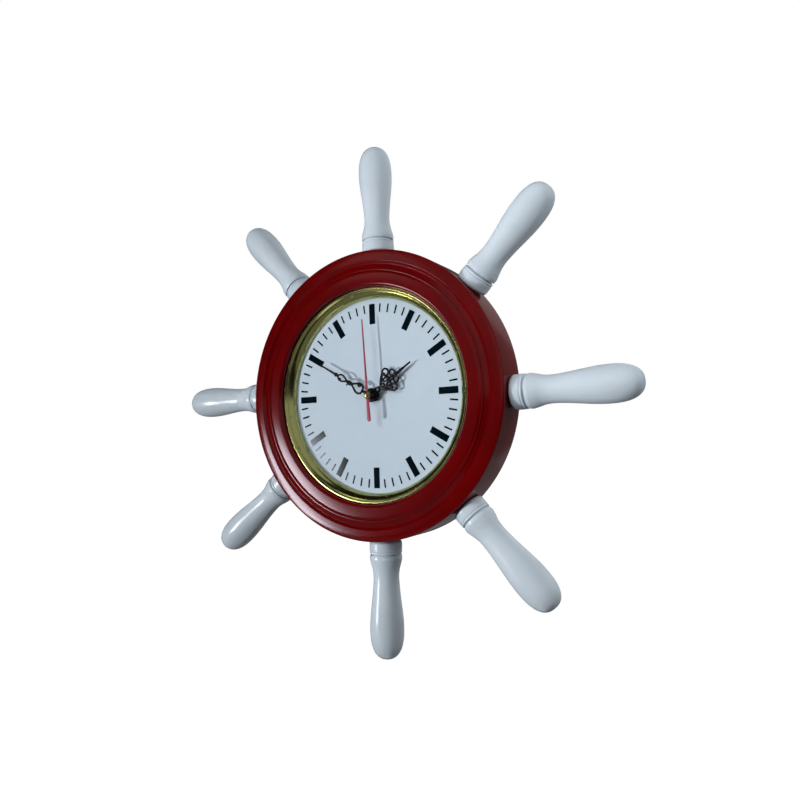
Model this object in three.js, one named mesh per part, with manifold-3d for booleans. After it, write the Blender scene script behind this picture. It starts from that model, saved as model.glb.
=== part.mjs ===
// Ship's-wheel wall clock: a painted, moulded ring with eight turned handles, a brass bezel, a printed dial
// and a battery quartz movement with its whole gear train.
// Millimetres, +Z up. The dial axis is the Y axis, the clock faces -Y, and it hangs against the wall y = 0.
import * as THREE from 'three';
import { mergeVertices } from 'three/addons/utils/BufferGeometryUtils.js';
import Module from 'manifold-3d';

const wasm = await Module();
wasm.setup();

// Clearances
const seat = 0.2;
const running = 0.15;
const pivotGap = 0.05;
const workingGap = 0.5;

// Wheel ring, a turned wooden moulding: from the bore outwards a crest, a bead, a cove and a flat band
const ring = {
  outerRadius: 126,
  width: 31.8,
  rebate: 7.8,
  thickness: 37.5,
  backChamfer: 1.5,
  boreRound: 3,
  crestWidth: 10.3,
  crestRound: 3.4,
  crestDrop: 4.4,
  beadWidth: 2.4,
  beadRise: 0.8,
  coveWidth: 5.1,
  bandStep: 0.8,
  edgeRound: 4.4,
  segments: 40,
};

// Handles, turned by hand with a tenon each. A direction is clockwise from 12, and a reach runs from the
// ring's side wall to the tip.
const handle = {
  axisFromWall: 17,
  baseRadius: 14.2,
  footRadius: 11,
  footRound: 3.6,
  baseLength: 9.2,
  lineWidth: 0.5,
  lineDepth: 0.5,
  beadWidth: 1.4,
  grooveWidth: 1.1,
  grooveDepth: 1.3,
  coveLength: 17,
  neckRadius: 11.2,
  bellyRadius: 14.8,
  bellyFromTip: 25.5,
  tenonRadius: 6.5,
  tenonLength: 18,
  segments: 12,
};
const handleFits = [
  { direction: 2.1, lean: -2.8, reach: 98.2 },
  { direction: 47.5, lean: -2.8, reach: 98.7 },
  { direction: 92.3, lean: -3.6, reach: 100.5 },
  { direction: 139.2, lean: -2, reach: 103.4 },
  { direction: 178.4, lean: 2.5, reach: 102.1 },
  { direction: 234.1, lean: -2.5, reach: 104.4 },
  { direction: 272.6, lean: -3, reach: 99.4 },
  { direction: 322.1, lean: -3.8, reach: 98 },
];

// Dial, its backing board and the brass bezel, fitted into the ring's bore and rebate
const dial = { faceFromWall: 24, thickness: 0.8, edgeGap: 2 };
const board = { thickness: 3, edgeGap: 1 };
const boardScrew = {
  fromRebate: 4, count: 4, firstDirection: 45, radius: 1.3, length: 8, headRadius: 2.7, headHeight: 1.7,
};
const bezel = {
  sheet: 1,
  lipAhead: 8.7,
  lipRound: 2,
  lipWidth: 6.1,
  footInset: 8.5,
  flangeGap: 1.4,
  flangeThickness: 1.2,
};

// Hands: sheet positions ahead of the dial face, reaches from the axis, and directions clockwise from 12
const hourHand = { ahead: 4.7, sheet: 0.5, hubRadius: 6, tip: 47, direction: 57 };
const minuteHand = { ahead: 7.6, sheet: 0.5, hubRadius: 3.6, tip: 59.5, direction: -59.5 };
const secondHand = { ahead: 11, sheet: 0.4, tip: 66, tail: 23.3, direction: -3 };
const collet = { radius: 3.7, height: 0.9 };
const handNut = { radius: 2.6, height: 1.2, sides: 14 };
const secondCap = { radius: 3, dome: 2, stemRadius: 1.1, stemLength: 1.1, rivetRadius: 0.7 };

// Battery movement: a square housing with a threaded bushing through board and dial
const movement = { depth: 16, wall: 1.5, coverThickness: 1.5, endRoom: 3.4 };
const gasket = { radius: 13, thickness: 0.8 };
const bushing = { radius: 3.6, length: 8.6 };
const washer = { radius: 5.6, thickness: 0.6 };
const hexNut = { acrossFlats: 9.8, height: 2 };

// Concentric pipes of the hands
const hourPipe = { radius: 2.5, bore: 1.85 };
const cannon = { radius: 1.7, bore: 0.68 };
const secondArbor = { radius: 0.5 };
const arbor = { radius: 0.5 };
const boss = { radius: 1.3, height: 1, pivotDepth: 1.3 };

// Gear pairs: module and tooth counts; each pair turns at (module x teeth) / 2 centre distance
const pairRotor = { module: 0.3, pinion: 6, wheel: 30 };
const pairSecond = { module: 0.43, pinion: 6, wheel: 36 };
const pairThird = { module: 0.33, pinion: 6, wheel: 48 };
const pairCentre = { module: (pairThird.module * 54) / 51, pinion: 6, wheel: 45 };
const pairMinute = { module: 0.45, pinion: 9, wheel: 27 };
const pairHour = { module: (pairMinute.module * 36) / 40, pinion: 8, wheel: 32 };
const settingTeeth = 14;

// Wheel layers, measured back from the housing's front face
const layer = {
  hourWheel: 2,
  hourWheelThickness: 1.2,
  motionWheel: 4,
  centreWheel: 5.8,
  thirdWheel: 7.3,
  secondWheel: 8.6,
  intermediateWheel: 10,
  wheelThickness: 1,
  stator: 6.2,
  statorThickness: 0.8,
  circuitBoard: 11.6,
  circuitBoardThickness: 0.8,
};

// Stepping motor, circuit and battery
const rotorMagnet = { radius: 2.5, length: 3.2, poleGap: 0.5, arborRadius: 0.4 };
const coil = { length: 12.5, radius: 3.6, flangeThickness: 0.8, coreWidth: 1.8, fromTop: 8.5 };
const battery = { radius: 7.1, bodyLength: 49.2, nubRadius: 2.75, nubLength: 1.3 };
const contact = { thickness: 0.3, width: 6 };
const partitionThickness = 1.2;
const knob = { radius: 3.6, height: 1.6, stemRadius: 1.4, ribs: 12, ribDepth: 0.4 };

// Sawtooth hanger, let into the back of the ring above the dial
const hanger = {
  fromEdge: 12,
  length: 44,
  width: 9,
  sheet: 0.8,
  bow: 1.4,
  footLength: 6,
  rampLength: 2,
  teeth: 7,
  toothDepth: 1.2,
  nailFromEnd: 3,
};
const hangerNail = { radius: 0.8, length: 9, headRadius: 1.7, head: 0.6 };

// Derived radii and heights in the dial's plane
const boreRadius = ring.outerRadius - ring.width;
const rebateRadius = boreRadius + ring.rebate;
const dialRadius = boreRadius - dial.edgeGap;
const boardRadius = rebateRadius - board.edgeGap;
const screwCircle = rebateRadius - boardScrew.fromRebate;
const hangerAt = ring.outerRadius - hanger.fromEdge;
const nailSpacing = hanger.length - 2 * hanger.nailFromEnd;

// Derived planes, as y values
const ringFront = -ring.thickness;
const dialFace = -dial.faceFromWall;
const dialBack = dialFace + dial.thickness;
const boardFront = dialBack + seat;
const boardBack = boardFront + board.thickness;
const flangeBack = boardFront - seat;
const flangeFront = flangeBack - bezel.flangeThickness;
const shoulder = flangeFront - seat;
const gasketFront = boardBack + seat;
const housingFront = gasketFront + gasket.thickness + seat;
const housingBack = housingFront + movement.depth;
const depthAt = (behindFront) => housingFront + behindFront;
const degrees = Math.PI / 180;

// Materials
const metal = (color, roughness) => new THREE.MeshStandardMaterial({ color, roughness, metalness: 1 });
const plain = (color, roughness) => new THREE.MeshStandardMaterial({ color, roughness, metalness: 0 });
const redPaint = plain(0x5e0408, 0.25);
const whitePaint = plain(0xe4e8ea, 0.25);
const brass = metal(0xb09a4e, 0.2);
const blackBrass = metal(0x1b1b18, 0.35);
const dialWhite = plain(0xd6dde2, 0.5);
const hardboard = plain(0x6b4a2f, 0.9);
const blackPaint = plain(0x08090c, 0.35);
const redEnamel = plain(0xa01c34, 0.35);
const blackPlastic = plain(0x1a1a1c, 0.5);
const whitePlastic = plain(0xe8e6dc, 0.5);
const amberPlastic = plain(0xc9a35a, 0.5);
const rubber = plain(0x161616, 0.9);
const steel = metal(0x9a9da0, 0.35);
const nickel = metal(0xc4c3bd, 0.25);
const copper = metal(0xb5643a, 0.35);
const circuitGreen = plain(0x1d5a36, 0.5);
const batterySleeve = plain(0x2f3338, 0.35);

// Makes one closed, outward-facing geometry: shared corners merged, empty triangles dropped
function weld(geometry) {
  const bare = geometry.clone();
  bare.deleteAttribute('normal');
  bare.deleteAttribute('uv');
  const merged = mergeVertices(bare, 1e-4);
  const position = merged.getAttribute('position');
  const index = merged.getIndex().array;
  const a = new THREE.Vector3();
  const b = new THREE.Vector3();
  const c = new THREE.Vector3();
  const kept = [];
  let volume = 0;
  for (let i = 0; i < index.length; i += 3) {
    const [p, q, r] = [index[i], index[i + 1], index[i + 2]];
    if (p === q || q === r || r === p) continue;
    kept.push(p, q, r);
    a.fromBufferAttribute(position, p);
    b.fromBufferAttribute(position, q);
    c.fromBufferAttribute(position, r);
    volume += a.dot(b.cross(c));
  }
  if (volume < 0) kept.reverse();
  merged.setIndex(kept);
  merged.computeVertexNormals();
  return merged;
}

// A closed geometry as a solid that can be joined and cut
function solid(geometry) {
  const closed = weld(geometry);
  return new wasm.Manifold(new wasm.Mesh({
    numProp: 3,
    vertProperties: new Float32Array(closed.getAttribute('position').array),
    triVerts: new Uint32Array(closed.getIndex().array),
  }));
}

// A solid back as a geometry
function geometryOf(body) {
  const mesh = body.getMesh();
  const geometry = new THREE.BufferGeometry();
  geometry.setAttribute('position', new THREE.BufferAttribute(mesh.vertProperties, 3));
  geometry.setIndex(new THREE.BufferAttribute(mesh.triVerts, 1));
  geometry.computeVertexNormals();
  return geometry;
}

// Joins the first list of geometries and cuts the second list out
function shaped(joined, cutters = []) {
  let body = solid(joined[0]);
  for (const extra of joined.slice(1)) body = body.add(solid(extra));
  for (const cutter of cutters) body = body.subtract(solid(cutter));
  return geometryOf(body);
}

// A shape turned about the Y axis, from (radius, y) corners
function turned(corners, segments = 24) {
  const points = corners.map(([radius, y]) => new THREE.Vector2(radius, y));
  return weld(new THREE.LatheGeometry(points, segments));
}

// A flat ring or tube about the Y axis, between two y planes
function tube(innerRadius, outerRadius, front, back, segments = 24) {
  const corners = [[innerRadius, back], [outerRadius, back], [outerRadius, front], [innerRadius, front]];
  return turned([...corners, corners[0]], segments);
}

// A round rod along Y between two y planes, at (x, z)
function rod(radius, front, back, x = 0, z = 0, segments = 8) {
  const geometry = new THREE.CylinderGeometry(radius, radius, back - front, segments);
  return geometry.translate(x, (front + back) / 2, z);
}

// A round cutter along Y whose flats stay clear of the radius
function bore(radius, front, back, x = 0, z = 0, segments = 16) {
  return rod(radius / Math.cos(Math.PI / segments), front, back, x, z, segments);
}

// A rectangular block between two corners
function block(x0, x1, y0, y1, z0, z1) {
  const geometry = new THREE.BoxGeometry(x1 - x0, y1 - y0, z1 - z0);
  return geometry.translate((x0 + x1) / 2, (y0 + y1) / 2, (z0 + z1) / 2);
}

// An outline drawn in (x, z), as a plate between two y planes
function plate(shape, front, back, curveSegments = 4) {
  const options = { depth: back - front, bevelEnabled: false, curveSegments };
  return new THREE.ExtrudeGeometry(shape, options).rotateX(Math.PI / 2).translate(0, back, 0);
}

// Points on an arc of an ellipse, angles in degrees
function arc(x, y, radiusX, radiusY, from, to, steps) {
  const points = [];
  for (let i = 0; i <= steps; i += 1) {
    const angle = (from + ((to - from) * i) / steps) * degrees;
    points.push([x + radiusX * Math.cos(angle), y + radiusY * Math.sin(angle)]);
  }
  return points;
}

// The direction of a clock angle, as a unit vector in the dial's plane
function clockDirection(angle) {
  return new THREE.Vector3(Math.sin(angle * degrees), 0, Math.cos(angle * degrees));
}

const clock = new THREE.Group();

// Adds one named piece, at (x, z), turned clockwise about its own Y axis by an angle in radians
function add(name, geometry, material, x = 0, z = 0, angle = 0) {
  const mesh = new THREE.Mesh(geometry, material);
  mesh.name = name;
  mesh.position.set(x, 0, z);
  mesh.rotation.y = angle;
  clock.add(mesh);
  return mesh;
}

// Wheel ring
function ringProfile() {
  const bandFront = ringFront + ring.bandStep;
  const coveFloor = ringFront + ring.crestDrop + 0.4;
  const beadFoot = ringFront + ring.crestDrop;
  const boreTop = boreRadius + ring.boreRound;
  const crestRadius = boreRadius + ring.crestWidth;
  const crestEnd = crestRadius + ring.crestRound;
  const beadOuter = crestEnd + 0.4 + ring.beadWidth;
  const coveOuter = beadOuter + ring.coveWidth;
  return [
    [rebateRadius, 0],
    [ring.outerRadius - ring.backChamfer, 0],
    [ring.outerRadius, -ring.backChamfer],
    ...arc(ring.outerRadius - ring.edgeRound, bandFront + ring.edgeRound + 0.3,
      ring.edgeRound, ring.edgeRound, 0, -90, 2),
    [coveOuter, bandFront],
    ...arc(beadOuter, bandFront, ring.coveWidth, coveFloor - bandFront, 0, 90, 2).slice(1),
    [beadOuter - 0.2, beadFoot - ring.beadRise],
    [crestEnd + 0.6, beadFoot - ring.beadRise],
    [crestEnd, beadFoot],
    ...arc(crestRadius, ringFront + ring.crestRound, ring.crestRound, ring.crestRound, 0, -90, 2),
    ...arc(boreTop, ringFront + ring.boreRound, ring.boreRound, ring.boreRound, -90, -180, 2),
    [boreRadius, shoulder],
    [rebateRadius, shoulder],
    [rebateRadius, 0],
  ];
}

function boardScrewPlaces() {
  const places = [];
  for (let i = 0; i < boardScrew.count; i += 1) {
    const direction = clockDirection(boardScrew.firstDirection + (360 * i) / boardScrew.count);
    places.push(direction.multiplyScalar(screwCircle));
  }
  return places;
}

// Turn and place of a handle: its axis meets the ring's side wall in its direction, and leans there
function handlePlace(fit) {
  const way = clockDirection(fit.direction + fit.lean);
  const place = clockDirection(fit.direction).sub(way).multiplyScalar(ring.outerRadius);
  place.y = -handle.axisFromWall;
  const turn = new THREE.Quaternion().setFromUnitVectors(new THREE.Vector3(0, 1, 0), way);
  return { place, turn };
}

function tenonHole(fit) {
  const from = tenonEnd - seat;
  const to = ring.outerRadius + 10;
  const radius = handle.tenonRadius + seat;
  const { place, turn } = handlePlace(fit);
  const hole = new THREE.CylinderGeometry(radius, radius, to - from, 12);
  return hole.translate(0, (from + to) / 2, 0).applyQuaternion(turn).translate(place.x, place.y, place.z);
}

const tenonEnd = ring.outerRadius + seat - handle.tenonLength;
const screwTip = boardBack - boardScrew.length - board.thickness;
const hangerRecess = hanger.sheet + hanger.bow + seat;
const nailTip = -hangerRecess - hangerNail.length;

function wheelBody() {
  const cuts = [];
  for (const fit of handleFits) {
    cuts.push(tenonHole(fit));
  }
  for (const at of boardScrewPlaces()) {
    cuts.push(bore(boardScrew.radius + seat, screwTip - seat, shoulder + 1, at.x, at.z, 8));
  }
  const half = hanger.length / 2 + seat;
  const halfWidth = hanger.width / 2 + seat;
  cuts.push(block(-half, half, -hangerRecess, 1, hangerAt - halfWidth, hangerAt + halfWidth));
  for (const side of [-1, 1]) {
    const across = (side * nailSpacing) / 2;
    cuts.push(bore(hangerNail.radius + seat, nailTip - seat, 0, across, hangerAt, 8));
  }
  return shaped([turned(ringProfile(), ring.segments)], cuts);
}

add('wheel_body', wheelBody(), redPaint);

// Handles: a spline from the neck over the belly to the rounded tip
function handleProfile({ lean, reach }) {
  const wallCurve = ring.outerRadius - Math.sqrt(ring.outerRadius ** 2 - handle.footRadius ** 2);
  const footDip = handle.footRadius * Math.abs(Math.sin(lean * degrees)) - wallCurve;
  const start = ring.outerRadius + seat + Math.max(0, footDip);
  const line = ring.outerRadius + handle.baseLength;
  const bead = line + 2 * handle.lineWidth;
  const groove = bead + handle.beadWidth;
  const collar = groove + 2 * handle.grooveWidth;
  const neck = collar + handle.coveLength;
  const rise = handle.baseRadius - handle.neckRadius;
  const tip = ring.outerRadius + reach;
  const bellyAt = tip - handle.bellyFromTip;
  const endLength = handle.bellyFromTip * 0.22;
  const endRadius = handle.bellyRadius * 0.74;
  const curve = new THREE.SplineCurve([
    new THREE.Vector2(handle.baseRadius, collar),
    new THREE.Vector2(handle.neckRadius + rise * 0.63, collar + handle.coveLength * 0.37),
    new THREE.Vector2(handle.neckRadius, neck),
    new THREE.Vector2(handle.neckRadius * 0.4 + handle.bellyRadius * 0.6, (neck + bellyAt) / 2 + 3),
    new THREE.Vector2(handle.bellyRadius, bellyAt),
    new THREE.Vector2(handle.bellyRadius * 0.93, tip - handle.bellyFromTip * 0.52),
    new THREE.Vector2(endRadius, tip - endLength),
  ]);
  const swell = curve.getPoints(5).map((point) => [point.x, point.y]);
  const end = arc(0, tip - endLength, endRadius, endLength, 0, 90, 2);
  return [
    [0, tenonEnd],
    [handle.tenonRadius, tenonEnd],
    [handle.tenonRadius, start],
    [handle.footRadius, start],
    [handle.baseRadius - 1, start + handle.footRound * 0.4],
    [handle.baseRadius, start + handle.footRound],
    [handle.baseRadius, line],
    [handle.baseRadius - handle.lineDepth, line + handle.lineWidth],
    [handle.baseRadius, bead],
    [handle.baseRadius, groove],
    [handle.baseRadius - handle.grooveDepth, groove + handle.grooveWidth],
    ...swell,
    ...end.slice(1, -1),
    [0, tip],
  ];
}

handleFits.forEach((fit, i) => {
  const piece = add(`handle_${i + 1}`, turned(handleProfile(fit), handle.segments), whitePaint);
  const { place, turn } = handlePlace(fit);
  piece.position.copy(place);
  piece.quaternion.copy(turn);
});

// Brass bezel: a spun ring with an outer skirt and flange, a rolled lip and a sloping inner wall
function bezelProfile() {
  const outer = boreRadius - seat;
  const lipFront = dialFace - bezel.lipAhead;
  const lipInner = outer - bezel.lipWidth;
  const footRadius = outer - bezel.footInset;
  const flangeRadius = rebateRadius - bezel.flangeGap;
  const foot = dialFace - seat;
  return [
    [outer, flangeFront],
    [outer, lipFront + 1.6],
    ...arc(outer - bezel.lipRound, lipFront + 1.6, bezel.lipRound, 1.6, 0, -90, 2),
    [lipInner, lipFront + 0.6],
    [footRadius, foot],
    [footRadius + bezel.sheet, foot],
    [lipInner + bezel.sheet, lipFront + 1.5],
    [outer - bezel.sheet, lipFront + 1.8],
    [outer - bezel.sheet, flangeBack],
    [flangeRadius, flangeBack],
    [flangeRadius, flangeFront],
    [outer, flangeFront],
  ];
}

function boardHoles(front, back) {
  return boardScrewPlaces().map((at) => bore(boardScrew.radius + seat, front, back, at.x, at.z, 8));
}

const bezelBody = turned(bezelProfile(), ring.segments);
add('brass_bezel', shaped([bezelBody], boardHoles(flangeFront - 1, flangeBack + 1)), brass);
const centreHole = bore(bushing.radius + seat, dialFace - 1, boardBack + 1);
const dialDisc = rod(dialRadius, dialFace, dialBack, 0, 0, ring.segments);
add('dial_plate', shaped([dialDisc], [centreHole]), dialWhite);
const boardDisc = rod(boardRadius, boardFront, boardBack, 0, 0, ring.segments);
const boardCuts = [centreHole, ...boardHoles(boardFront - 1, boardBack + 1)];
add('backing_board', shaped([boardDisc], boardCuts), hardboard);

boardScrewPlaces().forEach((at, i) => {
  const headBase = boardBack + seat;
  const screw = turned([
    [0, screwTip],
    [boardScrew.radius, screwTip],
    [boardScrew.radius, headBase],
    [boardScrew.headRadius, headBase],
    [boardScrew.headRadius, headBase + boardScrew.headHeight * 0.5],
    [boardScrew.headRadius * 0.6, headBase + boardScrew.headHeight],
    [0, headBase + boardScrew.headHeight],
  ], 8);
  add(`board_screw_${i + 1}`, screw, brass, at.x, at.z);
});

// Fixing of the movement: rubber gasket behind the board, washer and hexagon nut on the dial
const washerBack = dialFace - seat;
const washerFront = washerBack - washer.thickness;
const nutBack = washerFront - seat;
const threadClear = bushing.radius + seat;
const gasketBack = gasketFront + gasket.thickness;
add('rubber_gasket', tube(threadClear, gasket.radius, gasketFront, gasketBack, 12), rubber);
add('dial_washer', tube(threadClear, washer.radius, washerFront, washerBack, 16), blackBrass);
const hexRadius = hexNut.acrossFlats / 2 / Math.cos(30 * degrees);
const hexBody = new THREE.CylinderGeometry(hexRadius, hexRadius, hexNut.height, 6);
hexBody.translate(0, nutBack - hexNut.height / 2, 0);
const hexBore = bore(threadClear, nutBack - hexNut.height - 1, nutBack + 1);
add('fixing_nut', shaped([hexBody], [hexBore]), blackBrass);

// Gears: a tooth is centred on +X before turning; its corners are (radius, share of a pitch)
function gearOutline(teeth, corners) {
  const pitch = (2 * Math.PI) / teeth;
  const points = [];
  for (let i = 0; i < teeth; i += 1) {
    for (const [radius, share] of corners) {
      const angle = (i + share) * pitch;
      points.push(new THREE.Vector2(radius * Math.cos(angle), radius * Math.sin(angle)));
    }
  }
  return new THREE.Shape(points);
}

// Wheels have pointed teeth and pinions blunt ones, all narrow enough to run free
function wheelOutline(teeth, module) {
  const pitchRadius = (module * teeth) / 2;
  const root = pitchRadius - 1.15 * module;
  return gearOutline(teeth, [[root, -0.4], [pitchRadius + 0.75 * module, 0], [root, 0.4]]);
}

function pinionOutline(teeth, module) {
  const pitchRadius = (module * teeth) / 2;
  const root = pitchRadius - 1.2 * module;
  const outer = pitchRadius + 0.65 * module;
  return gearOutline(teeth, [[root, -0.19], [outer, -0.13], [outer, 0.13], [root, 0.19]]);
}

// Turning angle, counter-clockwise in the (x, z) plane, that puts the driven gear in mesh with its driver
function meshAngle(driverAngle, driverTeeth, direction, drivenTeeth) {
  const past = ((direction - driverAngle) * driverTeeth) / (2 * Math.PI);
  const share = past - Math.floor(past);
  return direction + Math.PI + ((share - 0.5) * 2 * Math.PI) / drivenTeeth;
}

// Centres of the arbors in the dial's plane
const place = (from, distance, angle) => ({
  x: from.x + distance * Math.cos(angle * degrees),
  z: from.z + distance * Math.sin(angle * degrees),
});
const centreDistance = (pair) => (pair.module * (pair.pinion + pair.wheel)) / 2;
const thirdDirection = 180;
const intermediateDirection = 0;
const rotorDirection = 30;
const minuteDirection = 90;
const knobDirection = 135;
const centreAt = { x: 0, z: 0 };
const thirdAt = place(centreAt, centreDistance(pairThird), thirdDirection);
const intermediateAt = place(centreAt, centreDistance(pairSecond), intermediateDirection);
const rotorAt = place(intermediateAt, centreDistance(pairRotor), rotorDirection);
const minuteAt = place(centreAt, centreDistance(pairMinute), minuteDirection);
const knobDistance = (pairMinute.module * (pairMinute.wheel + settingTeeth)) / 2;
const knobAt = place(minuteAt, knobDistance, knobDirection);

// Mesh angles, worked outwards from the hands
const secondAngle = meshAngle(0, pairSecond.pinion, intermediateDirection * degrees, pairSecond.wheel);
const thirdAngle = meshAngle(0, pairThird.pinion, thirdDirection * degrees, pairThird.wheel);
const backToCentre = (thirdDirection + 180) * degrees;
const centreAngle = meshAngle(thirdAngle, pairCentre.pinion, backToCentre, pairCentre.wheel);
const rotorAngle = meshAngle(0, pairRotor.wheel, rotorDirection * degrees, pairRotor.pinion);
const minuteAngle = meshAngle(0, pairMinute.pinion, minuteDirection * degrees, pairMinute.wheel);
const minutePinionAngle = 0;
const downToCentre = (minuteDirection + 180) * degrees;
const hourAngle = meshAngle(minutePinionAngle, pairHour.pinion, downToCentre, pairHour.wheel);
const knobAngle = meshAngle(minuteAngle, pairMinute.wheel, knobDirection * degrees, settingTeeth);

const wheelBack = (front) => depthAt(front + layer.wheelThickness);

// An outline turned about its own axis, counter-clockwise in the (x, z) plane
const pinionFace = (angle, shape, front, back) => plate(shape, front, back).rotateY(-angle);

// The wheel of a gear pair as a disc on its layer, and its pinion as a longer one between two planes
const wheelDisc = (pair, angle, front) => (
  pinionFace(angle, wheelOutline(pair.wheel, pair.module), depthAt(front), wheelBack(front))
);
const pinionRod = (pair, angle, front, back) => (
  pinionFace(angle, pinionOutline(pair.pinion, pair.module), front, back)
);
const rearPivot = depthAt(movement.depth - movement.coverThickness) + 0.4;
const frontPivot = depthAt(movement.wall + boss.height - boss.pivotDepth);

// Hour hand's pipe and wheel
const hourPipeFront = dialFace - hourHand.ahead - hourHand.sheet / 2 - 0.3;
const hourFront = depthAt(layer.hourWheel);
const hourBack = hourFront + layer.hourWheelThickness;
add('hour_wheel', shaped([
  pinionFace(hourAngle, wheelOutline(pairHour.wheel, pairHour.module), hourFront, hourBack),
  rod(hourPipe.radius, hourPipeFront, hourBack, 0, 0, 16),
], [bore(hourPipe.bore, hourPipeFront - 1, hourBack + 1)]), whitePlastic);

// Minute hand's cannon pipe, pinion and wheel
const cannonFront = dialFace - minuteHand.ahead - minuteHand.sheet / 2 - seat - handNut.height;
const centreFront = depthAt(layer.centreWheel);
add('centre_wheel', shaped([
  wheelDisc(pairCentre, centreAngle, layer.centreWheel),
  pinionRod(pairMinute, 0, depthAt(layer.motionWheel - 0.2), centreFront + 0.3),
  rod(cannon.radius, cannonFront, centreFront, 0, 0, 14),
], [bore(cannon.bore, cannonFront - 1, wheelBack(layer.centreWheel) + 1, 0, 0, 12)]), whitePlastic);

// Second hand's arbor, pinion and wheel
const secondSheetBack = dialFace - secondHand.ahead + secondHand.sheet / 2;
const arborFront = secondSheetBack + 0.3;
add('second_wheel', shaped([
  wheelDisc(pairSecond, secondAngle, layer.secondWheel),
  pinionRod(pairThird, 0, depthAt(layer.thirdWheel - 0.1), depthAt(layer.secondWheel) + 0.3),
  rod(secondArbor.radius, arborFront, rearPivot),
]), whitePlastic);

// The three free arbors of the running train
add('third_wheel', shaped([
  wheelDisc(pairThird, thirdAngle, layer.thirdWheel),
  pinionRod(pairCentre, thirdAngle, depthAt(layer.centreWheel - 0.1), depthAt(layer.thirdWheel) + 0.3),
  rod(arbor.radius, frontPivot, rearPivot),
]), whitePlastic, thirdAt.x, thirdAt.z);

const intermediatePinionAngle = intermediateDirection * degrees + Math.PI;
add('intermediate_wheel', shaped([
  wheelDisc(pairRotor, 0, layer.intermediateWheel),
  pinionRod(pairSecond, intermediatePinionAngle, depthAt(layer.secondWheel - 0.1),
    depthAt(layer.intermediateWheel) + 0.3),
  rod(arbor.radius, frontPivot, rearPivot),
]), whitePlastic, intermediateAt.x, intermediateAt.z);

const magnetMiddle = depthAt(layer.stator + layer.statorThickness / 2);
const magnetFront = magnetMiddle - rotorMagnet.length / 2;
add('rotor', shaped([
  rod(rotorMagnet.radius, magnetFront, magnetFront + rotorMagnet.length, 0, 0, 20),
  rod(rotorMagnet.arborRadius, frontPivot, rearPivot),
  pinionRod(pairRotor, rotorAngle, depthAt(layer.intermediateWheel - 0.1),
    wheelBack(layer.intermediateWheel) + 0.1),
]), steel, rotorAt.x, rotorAt.z);

// Minute wheel of the motion works, on a stud of the housing
const motionFront = depthAt(layer.motionWheel);
const studRadius = 0.6;
const minuteFront = depthAt(layer.hourWheel) - 0.1;
add('minute_wheel', shaped([
  wheelDisc(pairMinute, minuteAngle, layer.motionWheel),
  pinionRod(pairHour, minutePinionAngle, minuteFront, motionFront + 0.3),
], [bore(studRadius + pivotGap, minuteFront - 1, wheelBack(layer.motionWheel) + 1, 0, 0, 12)]), whitePlastic,
minuteAt.x, minuteAt.z);

// Setting knob with its gear, reached from behind
function knobOutline() {
  const shape = new THREE.Shape();
  const steps = knob.ribs * 2;
  for (let i = 0; i < steps; i += 1) {
    const radius = knob.radius - (i % 2) * knob.ribDepth;
    const angle = (i * 2 * Math.PI) / steps;
    const point = [radius * Math.cos(angle), radius * Math.sin(angle)];
    if (i === 0) shape.moveTo(...point);
    else shape.lineTo(...point);
  }
  shape.closePath();
  return shape;
}

const knobFront = housingBack + seat;
const settingPair = { module: pairMinute.module, wheel: settingTeeth };
add('set_knob', shaped([
  wheelDisc(settingPair, knobAngle, layer.motionWheel),
  rod(arbor.radius, frontPivot, motionFront + 0.5),
  rod(knob.stemRadius, motionFront + 0.5, knobFront + 0.5, 0, 0, 12),
  plate(knobOutline(), knobFront, knobFront + knob.height),
]), whitePlastic, knobAt.x, knobAt.z);

// Hands
function ellipseShape(x, y, radiusX, radiusY) {
  return new THREE.Shape().absellipse(x, y, radiusX, radiusY, 0, 2 * Math.PI);
}

// A tapered bar between two points, as (across, along) positions with a half width at each end
function barShape([x0, y0, w0], [x1, y1, w1]) {
  const along = new THREE.Vector2(x1 - x0, y1 - y0).normalize();
  const shape = new THREE.Shape();
  shape.moveTo(x0 - along.y * w0, y0 + along.x * w0);
  shape.lineTo(x0 + along.y * w0, y0 - along.x * w0);
  shape.lineTo(x1 + along.y * w1, y1 - along.x * w1);
  shape.lineTo(x1 - along.y * w1, y1 + along.x * w1);
  shape.closePath();
  return shape;
}

// A smooth closed loop through points given on one side of the hand and mirrored to the other
function leafShape(side) {
  const right = side.map(([x, y]) => new THREE.Vector2(x, y));
  const left = side.slice(1, -1).reverse().map(([x, y]) => new THREE.Vector2(-x, y));
  const curve = new THREE.SplineCurve([...right, ...left, right[0]]);
  return new THREE.Shape(curve.getPoints(10).slice(0, -1));
}

function handGeometry(solids, openings, front, back, holeRadius) {
  const cut = openings.map((shape) => plate(shape, front - 1, back + 1));
  cut.push(bore(holeRadius, front - 1, back + 1));
  return shaped(solids.map((shape) => plate(shape, front, back)), cut);
}

function bothSides(x, y, radiusX, radiusY) {
  return [ellipseShape(x, y, radiusX, radiusY), ellipseShape(-x, y, radiusX, radiusY)];
}

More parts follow.
